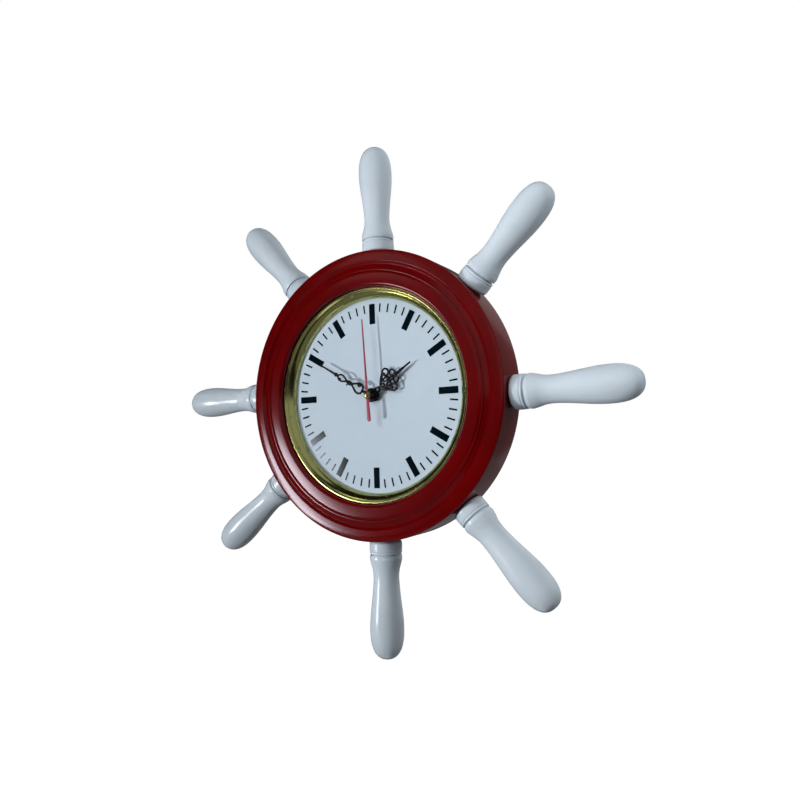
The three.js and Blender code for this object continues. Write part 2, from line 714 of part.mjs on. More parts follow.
// Hour hand: a pierced cluster of scrolls behind a fine point
function hourHandGeometry(front, back) {
  const solids = [
    ellipseShape(0, 0, hourHand.hubRadius, hourHand.hubRadius),
    ellipseShape(0, 7.7, 2.7, 3.1),
    ellipseShape(0, 11, 1.3, 1.3),
    ellipseShape(0, 14.2, 2.6, 2.7),
    ...bothSides(2.9, 18.9, 2.4, 3.4),
    ellipseShape(0, 24, 2.1, 4),
    ...bothSides(8.4, 21.9, 4.1, 4.3),
    ...bothSides(4, 28, 3.2, 3.2),
    barShape([0, 29, 2.4], [0, 33, 1.3]),
    barShape([0, 33, 1], [0, hourHand.tip, 0.55]),
    ellipseShape(0, 35.6, 1.4, 1),
    ellipseShape(0, 38, 1.1, 0.8),
  ];
  for (const side of [-1, 1]) {
    solids.push(barShape([side * 1.4, 12.4, 1], [side * 8.2, 19.4, 1.8]));
    solids.push(barShape([side * 10.8, 24, 0.9], [side * 6.4, 28.6, 0.9]));
    solids.push(barShape([0, 29.6, 0.9], [side * 3.6, 32, 0.35]));
  }
  const openings = [
    ellipseShape(0, 7.8, 1.3, 1.6),
    ellipseShape(0, 14.3, 1, 1.4),
    ...bothSides(2.9, 19, 1.1, 2.1),
    ellipseShape(0, 24.1, 0.9, 2.6),
    ...bothSides(8.2, 23.6, 2.3, 1.3),
    ...bothSides(10.2, 22, 0.8, 1.9),
    ...bothSides(4.1, 28.1, 1.7, 1.8),
  ];
  return handGeometry(solids, openings, front, back, hourPipe.radius + pivotGap);
}

// Minute hand: two scroll loops, one behind the other, and a long needle
function minuteHandGeometry(front, back) {
  const solids = [
    ellipseShape(0, 0, minuteHand.hubRadius, minuteHand.hubRadius),
    barShape([0, 3, 1.3], [0, 9.4, 1]),
    ellipseShape(0, 9, 1.9, 1.1),
    leafShape([[0, 8.8], [3.2, 9.8], [5.1, 13.2], [3.5, 17.2], [1.2, 20.4], [0, 21.6]]),
    ellipseShape(0, 23.6, 1.9, 3.4),
    barShape([0.4, 23.4, 0.9], [-3.5, 27, 0.35]),
    barShape([-0.4, 23.6, 0.9], [2.9, 21.2, 0.35]),
    leafShape([[0, 26.6], [1.5, 29.2], [3.3, 33], [3.3, 36], [1.3, 38], [0, 38.4]]),
    barShape([0, 38, 1.1], [0, 43, 0.8]),
    ellipseShape(0, 40.5, 1.7, 1.9),
    barShape([0, 42.5, 0.8], [0, minuteHand.tip, 0.45]),
  ];
  const openings = [
    leafShape([[0, 10.6], [2.5, 11.2], [3.8, 13.6], [2.3, 16.8], [0.6, 19.2], [0, 19.8]]),
    leafShape([[0, 29], [0.9, 30.4], [2, 33.2], [1.9, 35.2], [0.7, 36.4], [0, 36.6]]),
  ];
  const curls = shaped([
    plate(ellipseShape(3, 13.4, 1.7, 2), front, back),
    plate(ellipseShape(-2, 35.2, 1.2, 1.5), front, back),
  ]);
  return shaped([handGeometry(solids, openings, front, back, cannon.radius + pivotGap), curls]);
}

// Second hand: a tapered strip with a rounded, wider tail
function secondHandGeometry(front, back) {
  const tailRadius = 1.9;
  const tailCentre = tailRadius - secondHand.tail;
  return handGeometry([
    barShape([0, tailCentre, tailRadius], [0, 0, 1.2]),
    barShape([0, 0, 1.1], [0, secondHand.tip, 0.55]),
    ellipseShape(0, tailCentre, tailRadius, tailRadius),
    ellipseShape(0, 0, 2.2, 2.2),
  ], [], front, back, secondCap.rivetRadius + pivotGap);
}

function addHand(name, sizes, build, material) {
  const middle = dialFace - sizes.ahead;
  const geometry = build(middle - sizes.sheet / 2, middle + sizes.sheet / 2);
  add(name, geometry, material, 0, 0, sizes.direction * degrees);
}

addHand('hour_hand', hourHand, hourHandGeometry, blackPaint);
addHand('minute_hand', minuteHand, minuteHandGeometry, blackPaint);
addHand('second_hand', secondHand, secondHandGeometry, redEnamel);

const hourSheetBack = dialFace - hourHand.ahead + hourHand.sheet / 2;
const colletBack = hourSheetBack + collet.height;
add('hour_collet', tube(hourPipe.radius + pivotGap, collet.radius, hourSheetBack, colletBack, 16), brass);
const nutBore = cannon.radius + pivotGap;
const nutEnd = cannonFront + handNut.height;
add('hand_nut', tube(nutBore, handNut.radius, cannonFront, nutEnd, handNut.sides), brass);

// Brass cap of the second hand, riveted through it, with a socket that grips the arbor
function secondCapProfile() {
  const sheetFront = secondSheetBack - secondHand.sheet;
  const stemBack = secondSheetBack + seat + secondCap.stemLength;
  const domeBase = sheetFront - seat;
  return [
    [0, domeBase - secondCap.dome],
    ...arc(0, domeBase - 0.6, secondCap.radius, secondCap.dome - 0.6, -60, -5, 2),
    [secondCap.radius, domeBase],
    [secondCap.rivetRadius, domeBase],
    [secondCap.rivetRadius, secondSheetBack + seat],
    [secondCap.stemRadius, secondSheetBack + seat],
    [secondCap.stemRadius, stemBack],
    [secondArbor.radius + pivotGap, stemBack],
    [secondArbor.radius + pivotGap, arborFront - seat / 2],
    [0, arborFront - seat / 2],
  ];
}

add('second_cap', turned(secondCapProfile(), 10), brass);

// Movement housing: open-backed box with the bushing, the battery bay, arbor bosses and posts
const half = battery.bodyLength / 2 + movement.endRoom;
const inside = half - movement.wall;
const partitionFoot = -inside + 2 * battery.radius + 2 * seat + workingGap;
const coilHeight = half - coil.fromTop;
const floorBack = depthAt(movement.wall);
const wallBack = depthAt(movement.depth - movement.coverThickness) - seat;
const arborPlaces = [thirdAt, intermediateAt, rotorAt, knobAt];
const arborHole = arbor.radius + pivotGap;
const rightPad = { x: half - 5.5, z: coilHeight };
const leftPad = { x: rightPad.x - coil.length - 6.5, z: coilHeight };
const boardPosts = [
  { x: 5.5 - half, z: half - 6.5 },
  { x: 1, z: half - 4 },
  { x: half - 3.7, z: half - 3.7 },
];
const postRadius = 1.2;

function bossRods() {
  const root = floorBack - 0.5;
  const bosses = arborPlaces.map((at) => rod(boss.radius, root, floorBack + boss.height, at.x, at.z));
  const stud = rod(studRadius, root, wheelBack(layer.motionWheel) + 0.2, minuteAt.x, minuteAt.z);
  const padBack = depthAt(layer.stator) - seat;
  const pads = [leftPad, rightPad].map((at) => rod(postRadius, root, padBack, at.x, at.z));
  const postBack = depthAt(layer.circuitBoard) - seat;
  const posts = boardPosts.map((at) => rod(postRadius, root, postBack, at.x, at.z));
  return [...bosses, stud, ...pads, ...posts];
}

function movementCase() {
  const partitionTop = partitionFoot + partitionThickness;
  const slotEdge = inside - contact.thickness - 2 * seat;
  const shell = shaped([
    block(-half, half, housingFront, wallBack, -half, half),
    rod(bushing.radius, housingFront - bushing.length, housingFront + 0.5, 0, 0, 20),
  ], [
    block(-inside, inside, floorBack, wallBack + 1, -inside, inside),
    bore(hourPipe.radius + running, housingFront - bushing.length - 1, floorBack + 1),
  ]);
  const bossTop = floorBack + boss.height + 1;
  const pivots = arborPlaces.map((at) => bore(arborHole, frontPivot - seat, bossTop, at.x, at.z, 8));
  return shaped([
    shell,
    block(-slotEdge, slotEdge, floorBack - 0.5, wallBack, partitionFoot, partitionTop),
    ...bossRods(),
  ], pivots);
}

add('movement_case', movementCase(), blackPlastic);

// Rear cover over the train, leaving the battery bay open, with arbor bosses and four snap tabs
function movementCover() {
  const coverFront = depthAt(movement.depth - movement.coverThickness);
  const bossFront = coverFront - boss.height;
  const bosses = [centreAt, thirdAt, intermediateAt, rotorAt];
  const tabDepth = 1.4;
  const tabWidth = 6;
  const tabEdge = inside - running;
  const tabThickness = 0.8;
  const tabFront = coverFront - tabDepth;
  const tabBack = coverFront + 0.5;
  const tabs = [];
  for (const side of [-1, 1]) {
    const left = side * (half - 12) - tabWidth / 2;
    const edge = side * (tabEdge - tabThickness / 2);
    tabs.push(block(left, left + tabWidth, tabFront, tabBack, tabEdge - tabThickness, tabEdge));
    tabs.push(block(edge - tabThickness / 2, edge + tabThickness / 2, tabFront, tabBack, 0, tabWidth));
  }
  return shaped([
    block(-half, half, coverFront, housingBack, partitionFoot, half),
    ...bosses.map((at) => rod(boss.radius, bossFront, coverFront + 0.5, at.x, at.z)),
    ...tabs,
  ], [
    ...bosses.map((at) => bore(arborHole, bossFront - 1, rearPivot + seat, at.x, at.z, 8)),
    bore(knob.stemRadius + running, coverFront - 1, housingBack + 1, knobAt.x, knobAt.z, 12),
  ]);
}

add('movement_cover', movementCover(), blackPlastic);

// Stepping motor: stator plate round the rotor, coil core across its two pads, and the winding on its bobbin
function statorGeometry() {
  const pole = rotorMagnet.radius + rotorMagnet.poleGap;
  const arm = 1.6;
  const padHalf = 1.7;
  const crossing = rotorAt.z + pole + 3;
  const front = depthAt(layer.stator);
  const back = depthAt(layer.stator + layer.statorThickness);
  const bar = (from, to) => plate(barShape([...from, arm], [...to, arm]), front, back);
  const limb = (points) => points.slice(1).map((point, i) => bar(points[i], point));
  const pad = ({ x, z }) => block(x - padHalf, x + padHalf, front, back, z - padHalf, z + padHalf);
  return shaped([
    plate(ellipseShape(rotorAt.x, rotorAt.z, pole + arm, pole + arm), front, back, 7),
    pad(leftPad),
    pad(rightPad),
    ...limb([[leftPad.x, leftPad.z], [leftPad.x, crossing + 1], [leftPad.x + 1.2, crossing],
      [rotorAt.x - 1, crossing - 1.2]]),
    ...limb([[rightPad.x, rightPad.z], [rightPad.x - 0.6, crossing + 3], [rotorAt.x + 2.4, rotorAt.z + 2.4]]),
  ], [plate(ellipseShape(rotorAt.x, rotorAt.z, pole, pole), front - 1, back + 1, 7)]);
}

add('stator', statorGeometry(), steel);

const coreFront = depthAt(layer.stator + layer.statorThickness) + seat / 2;
const coreThickness = 0.8;
const coilMiddle = (leftPad.x + rightPad.x) / 2;
const coreHalf = coil.coreWidth / 2;
add('coil_core', block(leftPad.x - 1.5, rightPad.x + 1.5, coreFront, coreFront + coreThickness,
  coilHeight - coreHalf, coilHeight + coreHalf), nickel);

// Shapes turned about an X axis at the coil's or the battery's height
function turnedAlongX(corners, segments, y, z) {
  return turned(corners, segments).rotateZ(-Math.PI / 2).translate(0, y, z);
}

const coreSlot = block(-coil.length, coil.length, -coreThickness / 2 - running, coreThickness / 2 + running,
  -coreHalf - running, coreHalf + running);
const bobbinBore = 1.45;

function bobbinGeometry() {
  const inner = coil.length / 2 - coil.flangeThickness;
  const outer = coil.length / 2;
  const body = turnedAlongX([
    [0, -outer], [coil.radius, -outer], [coil.radius, -inner], [bobbinBore, -inner],
    [bobbinBore, inner], [coil.radius, inner], [coil.radius, outer], [0, outer],
  ], 12, 0, 0);
  return shaped([body], [coreSlot]).translate(coilMiddle, coreFront + coreThickness / 2, coilHeight);
}

function windingGeometry() {
  const reach = coil.length / 2 - coil.flangeThickness - running;
  const bore = bobbinBore + running;
  const outer = coil.radius - 0.5;
  return turnedAlongX([[bore, -reach], [outer, -reach], [outer, reach], [bore, reach], [bore, -reach]],
    12, coreFront + coreThickness / 2, coilHeight).translate(coilMiddle, 0, 0);
}

add('coil_bobbin', bobbinGeometry(), amberPlastic);
add('coil_winding', windingGeometry(), copper);

// Circuit board on three posts, with the crystal lying under it
const circuitSide = inside - 0.8;
const circuitTop = inside - workingGap;
const circuitBottom = knobAt.z + knob.stemRadius + 1.4;
const circuitFront = depthAt(layer.circuitBoard);
const circuitBack = circuitFront + layer.circuitBoardThickness;
const crystal = { radius: 1, length: 6, x: -14 };
const circuitBody = block(-circuitSide, circuitSide, circuitFront, circuitBack, circuitBottom, circuitTop);
add('circuit_board', circuitBody, circuitGreen);
const crystalBody = turnedAlongX([
  [0, 0], [crystal.radius, 0], [crystal.radius, crystal.length], [0, crystal.length],
], 8, circuitFront - crystal.radius - seat, (circuitBottom + circuitTop) / 2);
add('quartz_crystal', crystalBody.translate(crystal.x, 0, 0), nickel);

// Battery and its two contact strips, which run along the side walls to the circuit board
const batteryMiddle = housingBack - battery.radius - 0.1;
const batteryHeight = partitionFoot - seat - battery.radius - workingGap;
const bodyHalf = battery.bodyLength / 2;
const batteryBody = turnedAlongX([
  [0, -bodyHalf], [battery.radius - 0.6, -bodyHalf], [battery.radius, -bodyHalf + 0.6],
  [battery.radius, bodyHalf - 0.6], [battery.radius - 0.6, bodyHalf], [battery.nubRadius, bodyHalf],
  [battery.nubRadius, bodyHalf + battery.nubLength], [0, bodyHalf + battery.nubLength],
], 14, batteryMiddle, batteryHeight);
add('battery', batteryBody, batterySleeve);

function contactStrip(side) {
  const outer = side * (inside - seat);
  const inner = outer - side * contact.thickness;
  const [x0, x1] = side < 0 ? [outer, inner] : [inner, outer];
  const middle = batteryMiddle;
  const lower = batteryHeight - contact.width;
  const upper = circuitBottom + 3;
  return shaped([
    block(x0, x1, middle - contact.width / 2, middle + contact.width / 2, lower, upper),
    block(x0, x1, middle, circuitBack, upper - 3, upper),
  ]);
}

function springContact() {
  const outer = -(inside - seat - contact.thickness);
  const reach = -bodyHalf - seat / 2;
  const middle = batteryMiddle;
  const leaf = new THREE.Shape();
  leaf.moveTo(outer - 0.05, batteryHeight + contact.width * 0.9);
  leaf.lineTo(reach, batteryHeight + 0.6);
  leaf.lineTo(reach, batteryHeight - 0.6);
  leaf.lineTo(outer - 0.05, batteryHeight - contact.width * 0.9);
  leaf.lineTo(outer - 0.05, batteryHeight - contact.width * 0.9 + 0.6);
  leaf.lineTo(reach - contact.thickness, batteryHeight - 0.4);
  leaf.lineTo(reach - contact.thickness, batteryHeight + 0.4);
  leaf.lineTo(outer - 0.05, batteryHeight + contact.width * 0.9 - 0.6);
  leaf.closePath();
  return shaped([contactStrip(-1), plate(leaf, middle - contact.width / 2, middle + contact.width / 2)]);
}

add('contact_positive', contactStrip(1), nickel);
add('contact_negative', springContact(), nickel);

// Sawtooth hanger: a strip bowed clear of the wood, with a toothed lower edge, and its two nails
function hangerPlate() {
  const end = hanger.length / 2;
  const foot = end - hanger.footLength;
  const bowEnd = foot - hanger.rampLength;
  const footFront = -hanger.sheet - hanger.bow;
  const bent = new THREE.Shape([
    [-end, footFront], [-foot, footFront], [-bowEnd, -hanger.sheet],
    [bowEnd, -hanger.sheet], [foot, footFront], [end, footFront],
    [end, -hanger.bow], [foot - 0.3, -hanger.bow], [bowEnd - 0.3, 0],
    [-bowEnd + 0.3, 0], [-foot + 0.3, -hanger.bow], [-end, -hanger.bow],
  ].map(([x, y]) => new THREE.Vector2(x, y)));
  const low = hangerAt - hanger.width / 2;
  const strip = new THREE.ExtrudeGeometry(bent, { depth: hanger.width, bevelEnabled: false });
  strip.translate(0, 0, low);
  const pitch = (2 * bowEnd) / hanger.teeth;
  const notches = [];
  for (let i = 0; i < hanger.teeth; i += 1) {
    const x = -bowEnd + (i + 0.5) * pitch;
    const notch = new THREE.Shape([
      new THREE.Vector2(x - pitch * 0.45, low - 0.5),
      new THREE.Vector2(x + pitch * 0.45, low - 0.5),
      new THREE.Vector2(x, low + hanger.toothDepth),
    ]);
    notches.push(plate(notch, footFront - 1, 1));
  }
  for (const side of [-1, 1]) {
    const x = (side * nailSpacing) / 2;
    notches.push(bore(hangerNail.radius + running, footFront - 1, 1, x, hangerAt, 8));
  }
  return shaped([strip], notches);
}

add('hanger_plate', hangerPlate(), steel);

[-1, 1].forEach((side, i) => {
  const headFront = -hanger.bow + seat;
  const nail = turned([
    [0, nailTip],
    [hangerNail.radius, nailTip + 1.5],
    [hangerNail.radius, headFront],
    [hangerNail.headRadius, headFront],
    [hangerNail.headRadius, headFront + hangerNail.head],
    [0, headFront + hangerNail.head],
  ], 8);
  add(`hanger_nail_${i + 1}`, nail, steel, (side * nailSpacing) / 2, hangerAt);
});

export default clock;
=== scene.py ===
"""Ship's-wheel wall clock: the visible pieces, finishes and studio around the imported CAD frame.

Metres. +Z is up through 12 o'clock, the dial faces -Y and the wall is the plane y = 0.
"""

import math

import bmesh
import bpy
import numpy as np
from bpy.props import FloatProperty, FloatVectorProperty, PointerProperty
from mathutils import Matrix, Vector


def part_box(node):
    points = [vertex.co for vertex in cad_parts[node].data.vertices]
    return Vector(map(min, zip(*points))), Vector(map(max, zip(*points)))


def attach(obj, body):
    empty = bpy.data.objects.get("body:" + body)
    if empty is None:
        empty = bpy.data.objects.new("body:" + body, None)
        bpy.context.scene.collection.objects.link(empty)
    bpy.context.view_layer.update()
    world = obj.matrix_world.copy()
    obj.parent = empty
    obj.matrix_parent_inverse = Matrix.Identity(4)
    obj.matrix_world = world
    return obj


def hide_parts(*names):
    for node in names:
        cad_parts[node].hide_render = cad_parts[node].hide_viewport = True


bl_info = {
    "name": "Ship's-wheel clock",
    "version": (1, 0, 0),
    "blender": (4, 5, 0),
    "location": "View3D > Sidebar > Clock",
    "description": "Builds the visible pieces of a ship's-wheel wall clock around its CAD frame",
    "category": "Object",
}

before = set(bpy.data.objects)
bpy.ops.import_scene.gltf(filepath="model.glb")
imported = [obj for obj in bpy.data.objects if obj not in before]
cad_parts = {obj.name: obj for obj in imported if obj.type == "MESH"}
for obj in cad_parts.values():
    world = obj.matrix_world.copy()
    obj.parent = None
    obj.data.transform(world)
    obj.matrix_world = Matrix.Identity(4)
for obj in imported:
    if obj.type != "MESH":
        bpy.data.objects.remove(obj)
MM = 0.001


# Settings


def length(name, description, default):
    return FloatProperty(
        name=name,
        description=description,
        default=default,
        min=0,
        unit="LENGTH",
        subtype="DISTANCE",
        precision=5,
    )


def colour(name, description, default):
    return FloatVectorProperty(
        name=name,
        description=description,
        default=default,
        size=3,
        min=0,
        max=1,
        subtype="COLOR",
    )


def angle(name, description, degrees):
    return FloatProperty(name=name, description=description, default=math.radians(degrees), subtype="ANGLE")


def power(name, description, default):
    return FloatProperty(name=name, description=description, default=default, min=0, unit="POWER")


def level(name, description, default):
    return FloatProperty(name=name, description=description, default=default, min=0)


class RingSizes(bpy.types.PropertyGroup):
    """Sizes of the turned wooden ring."""

    outer_radius: length("Outer radius", "Radius of the side wall", 0.126)
    bore_radius: length("Bore radius", "Radius of the opening in front", 0.0942)
    recess_radius: length("Recess radius", "Radius of the recess at the back", 0.102)
    thickness: length("Thickness", "Wall to crest", 0.0375)
    shoulder: length("Shoulder", "Wall to the shoulder that the bezel rests on", 0.0246)
    edge_round: length("Edge rounding", "Rounding of the outer front edge", 0.0011)
    bore_round: length("Bore rounding", "Rounding of the crest's inner edge", 0.0032)
    crest_radius: length("Crest radius", "Where the flat crest ends", 0.1048)
    crest_round: length("Crest rounding", "Rounding from the crest into the cove", 0.006)
    bead_radius: length("Bead radius", "Dial axis to the fine bead beside the crest", 0.1084)
    bead_width: length("Bead width", "Width of the fine bead", 0.0016)
    bead_drop: length("Bead drop", "Crest to the foot of the bead", 0.0008)
    cove_radius: length("Cove radius", "Dial axis to the bottom of the cove", 0.1136)
    cove_drop: length("Cove drop", "Crest to the bottom of the cove", 0.0022)
    band_radius: length("Band radius", "Inner edge of the outer band", 0.1163)
    band_step: length("Band step", "Crest to the outer band", 0.0007)
    band_fall: length("Band fall", "How far the band falls towards its edge", 0.0004)


class HandleSizes(bpy.types.PropertyGroup):
    """Sizes of the turned handles, measured along each axis from the ring's side wall."""

    base_radius: length("Base radius", "Radius of the base", 0.0142)
    foot_round: length("Foot rounding", "Rounding of the base against the wall", 0.0036)
    base_end: length("Base end", "Wall to the fine line that ends the base", 0.0092)
    bead_start: length("Bead start", "Wall to the bead", 0.0102)
    bead_end: length("Bead end", "Wall to the main groove", 0.0113)
    collar_start: length("Collar start", "Wall to the collar", 0.0139)
    groove_depth: length("Groove depth", "Depth of the main groove", 0.0019)
    neck: length("Neck", "Wall to the narrowest place", 0.0312)
    neck_radius: length("Neck radius", "Radius of the neck", 0.0112)
    belly_radius: length("Belly radius", "Largest radius of the grip", 0.0148)
    belly_from_tip: length("Belly from tip", "Tip to the grip's thickest place", 0.0255)
    end_power: FloatProperty(
        name="End fullness",
        description="Exponent of the rounded end: 2 is an ellipse, more is fuller",
        default=2.5,
        min=1.5,
        max=4,
    )


class DialSizes(bpy.types.PropertyGroup):
    """Sizes of the dial's printed marks and of the bezel."""

    face: length("Face", "Wall to the dial's face", 0.024)
    hour_mark_inner: length("Hour mark start", "Inner end of an hour mark", 0.0631)
    mark_outer: length("Mark end", "Outer end of all marks", 0.0811)
    hour_mark_width: length("Hour mark width", "Width of an hour mark", 0.0059)
    minute_mark_inner: length("Minute mark start", "Inner end of a minute mark", 0.0735)
    minute_mark_width: length("Minute mark width", "Width of a minute mark", 0.0015)
    print_shift: length("Print shift", "How far the print stands to the right of the axis", 0.0005)
    lip_ahead: length("Lip ahead", "Dial face to the bezel's lip", 0.0094)
    lip_round: length("Lip rounding", "Radius of the rolled lip", 0.0007)
    lip_flat: length("Lip flat", "Width of the lip's flat front", 0.0007)
    slope_radius: length("Slope radius", "Outer edge of the slope to the dial", 0.0903)
    slope_ahead: length("Slope ahead", "Dial face to the slope's outer edge", 0.0072)
    bezel_groove: length("Bezel groove", "Depth of the fine groove inside the lip", 0.0004)
    foot_radius: length("Foot radius", "Bezel's inner edge at the dial", 0.0855)
    flange_radius: length("Flange radius", "Radius of the bezel's hidden flange", 0.1006)


class HandSizes(bpy.types.PropertyGroup):
    """Places of the three hands."""

    hour_ahead: length("Hour hand ahead", "Dial face to the hour hand", 0.0047)
    minute_ahead: length("Minute hand ahead", "Dial face to the minute hand", 0.0076)
    second_ahead: length("Second hand ahead", "Dial face to the second hand", 0.011)
    hour_tip: length("Hour hand tip", "Reach of the hour hand", 0.047)
    minute_tip: length("Minute hand tip", "Reach of the minute hand", 0.0595)
    second_tip: length("Second hand tip", "Reach of the second hand", 0.066)
    second_tail: length("Second hand tail", "Reach of its tail", 0.0233)
    sheet: length("Sheet", "Thickness of the hour and minute hands", 0.0005)
    second_sheet: length("Second hand sheet", "Thickness of the second hand", 0.0004)
    hour_direction: angle("Hour hand direction", "Clockwise from 12", 57)
    minute_direction: angle("Minute hand direction", "Clockwise from 12", -59.5)
    second_direction: angle("Second hand direction", "Clockwise from 12", -3)


class Finishes(bpy.types.PropertyGroup):
    """Colours of the finishes, linear."""

    red: colour("Ring red", "Enamel on the ring", (0.118, 0.0001, 0.0006))
    red_shade: colour("Ring shade", "Darker patches of the ring's enamel", (0.092, 0.0001, 0.0004))
    white: colour("Handle white", "Enamel on the handles", (0.60, 0.69, 0.77))
    white_shade: colour("Handle shade", "Cooler patches of the handles", (0.55, 0.64, 0.72))
    brass: colour("Brass", "Polished brass", (0.42, 0.42, 0.15))
    brass_pale: colour("Pale brass", "Paler patches of the brass", (0.47, 0.46, 0.19))
    brass_dark: colour("Tarnish", "Tarnish on the brass", (0.17, 0.17, 0.05))
    dial: colour("Dial", "Satin white of the dial", (0.485, 0.59, 0.69))
    dial_mottle: colour("Dial mottle", "Faint patches of the dial", (0.525, 0.625, 0.71))
    ink: colour("Ink", "Printed marks", (0.001, 0.004, 0.007))
    blacking: colour("Blacking", "Black finish of the nut and washer", (0.004, 0.005, 0.004))
    hand_black: colour("Hand black", "Enamel of the hour and minute hands", (0.005, 0.005, 0.008))
    hand_red: colour("Hand red", "Enamel of the second hand", (0.3, 0.012, 0.045))
    board: colour("Board", "Pressed fibre board", (0.2, 0.105, 0.048))


class StudioSettings(bpy.types.PropertyGroup):
    """Camera and light."""

    camera_place: FloatVectorProperty(
        name="Camera place",
        description="Where the camera stands",
        default=(0.31448, -0.52636, -0.04139),
        size=3,
        unit="LENGTH",
        subtype="TRANSLATION",
    )
    camera_turn: FloatVectorProperty(
        name="Camera turn",
        description="XYZ angles of the camera",
        default=(math.radians(93.54), math.radians(1.79219), math.radians(29.96205)),
        size=3,
        subtype="EULER",
    )
    lens: FloatProperty(
        name="Lens",
        description="Focal length on a 36 mm sensor, in millimetres",
        default=30.4173,
    )
    floor_drop: length("Floor drop", "Dial axis to the floor", 1.0)
    window_power: power("Window", "Power of the window at the left", 1.6)
    front_power: power("Front", "Power of the light in front", 1.68)
    right_power: power("Right", "Power of the light at the upper right", 1.0)
    side_power: power("Side", "Power of the light at the far right", 2.3)
    back_power: power("Back", "Power of the light behind", 7.0)
    room_level: level("Room", "Level of the room's light", 0.08)
    front_level: level("Front flag", "Level that reflections see in front", 0.012)
    left_level: level("Left flag", "Level that reflections see at the left", 0.04)
    right_level: level("Right flag", "Level that reflections see at the right", 0.13)
    back_level: level("Back flag", "Level that reflections see behind", 0.3)
    table_level: level("Table flag", "Level that reflections see below", 0.2)
    card_level: level("Card", "Level of the bright card at the right", 0.45)
    glow_level: level("Glow", "Level of the ceiling lamp's glow", 1.1)
    pane_level: level("Window pane", "Level of the window in reflections", 29.0)


# Shader expressions


class Field:
    """A shader value that Python expressions can use: each operator adds its Math node."""

    def __init__(self, finish, socket):
        self.finish = finish
        self.socket = socket

    def math(self, operation, first, second):
        return self.finish.node("ShaderNodeMath", {"operation": operation}, {0: first, 1: second})

    def __add__(self, other):
        return self.math("ADD", self, other)

    def __sub__(self, other):
        return self.math("SUBTRACT", self, other)

    def __mul__(self, other):
        return self.math("MULTIPLY", self, other)

    def __truediv__(self, other):
        return self.math("DIVIDE", self, other)

    def __pow__(self, other):
        return self.math("POWER", self, other)

    def __rsub__(self, other):
        return self.math("SUBTRACT", other, self)

    __radd__ = __add__
    __rmul__ = __mul__

    def larger(self, other):
        return self.math("MAXIMUM", self, other)

    def between(self, low, high):
        """0 below low, 1 above high, and a smooth step between them."""
        settings = {"interpolation_type": "SMOOTHSTEP"}
        return self.finish.node(
            "ShaderNodeMapRange", settings, {"Value": self, "From Min": low, "From Max": high}
        )


class Finish:
    """A material being mixed: its Principled shader and the nodes that feed it."""

    def __init__(self, name, **constants):
        self.material = bpy.data.materials.new(name)
        self.material.use_nodes = True
        self.tree = self.material.node_tree
        self.tree.nodes.clear()
        self.shader = self.tree.nodes.new("ShaderNodeBsdfPrincipled")
        output = self.tree.nodes.new("ShaderNodeOutputMaterial")
        self.tree.links.new(self.shader.outputs[0], output.inputs[0])
        for socket, value in constants.items():
            self.shader.inputs[socket.replace("_", " ").title().replace("Ior", "IOR")].default_value = value

    def node(self, kind, settings=None, inputs=None, output=0):
        """Adds a node, with its settings first, and returns one of its outputs."""
        made = self.tree.nodes.new(kind)
        for name, value in (settings or {}).items():
            setattr(made, name, value)
        for name, value in (inputs or {}).items():
            self.feed(made.inputs[name], value)
        return Field(self, made.outputs[output])

    def feed(self, socket, value):
        if isinstance(value, Field):
            self.tree.links.new(value.socket, socket)
        elif hasattr(value, "__len__") and len(value) == 3 and socket.type == "RGBA":
            socket.default_value = (*value, 1)
        else:
            socket.default_value = value

    def place(self):
        return self.node("ShaderNodeTexCoord", output="Object")

    def stretched(self, scale):
        """Object coordinates, scaled along each axis."""
        settings = {"operation": "MULTIPLY"}
        return self.node("ShaderNodeVectorMath", settings, {0: self.place(), 1: scale})

    def noise(self, scale, detail=3.0, roughness=0.5, vector=None, distortion=0.0):
        inputs = {"Scale": scale, "Detail": detail, "Roughness": roughness, "Distortion": distortion}
        inputs["Vector"] = vector or self.place()
        return self.node("ShaderNodeTexNoise", None, inputs)

    def specks(self, scale, size):
        """1 on small round specks and 0 elsewhere."""
        inputs = {"Scale": scale, "Vector": self.place()}
        return 1 - self.node("ShaderNodeTexVoronoi", None, inputs).between(size * 0.6, size)

    def axis_distance(self):
        """Distance from the dial's axis."""
        across = self.stretched((1, 0, 1))
        return self.node("ShaderNodeVectorMath", {"operation": "LENGTH"}, {0: across}, "Value")

    def line_noise(self, along, scale, detail=2.0):
        """Noise that varies along one number only, as a lathe tool leaves it."""
        inputs = {"W": along, "Scale": scale, "Detail": detail}
        return self.node("ShaderNodeTexNoise", {"noise_dimensions": "1D"}, inputs)

    def mix(self, factor, first, second):
        settings = {"data_type": "RGBA", "clamp_factor": True}
        return self.node("ShaderNodeMix", settings, {0: factor, 6: first, 7: second}, 2)

    def bump(self, height, distance):
        self.set("Normal", self.node("ShaderNodeBump", None, {"Height": height, "Distance": distance}))

    def seen(self):
        """1 where it is looked at, straight or mirrored or through glass, and 0 for the light it sheds."""
        camera, glossy, through = (
            self.node("ShaderNodeLightPath", output=f"Is {kind} Ray")
            for kind in ("Camera", "Glossy", "Transmission")
        )
        return camera.larger(glossy).larger(through)

    def set(self, socket, value):
        self.feed(self.shader.inputs[socket], value)


class Room(Finish):
    """The world's light, mixed in the same way as a finish."""

    def __init__(self, name):
        self.world = bpy.data.worlds.new(name)
        self.world.use_nodes = True
        self.tree = self.world.node_tree
        self.shader = self.tree.nodes["Background"]


# Finishes


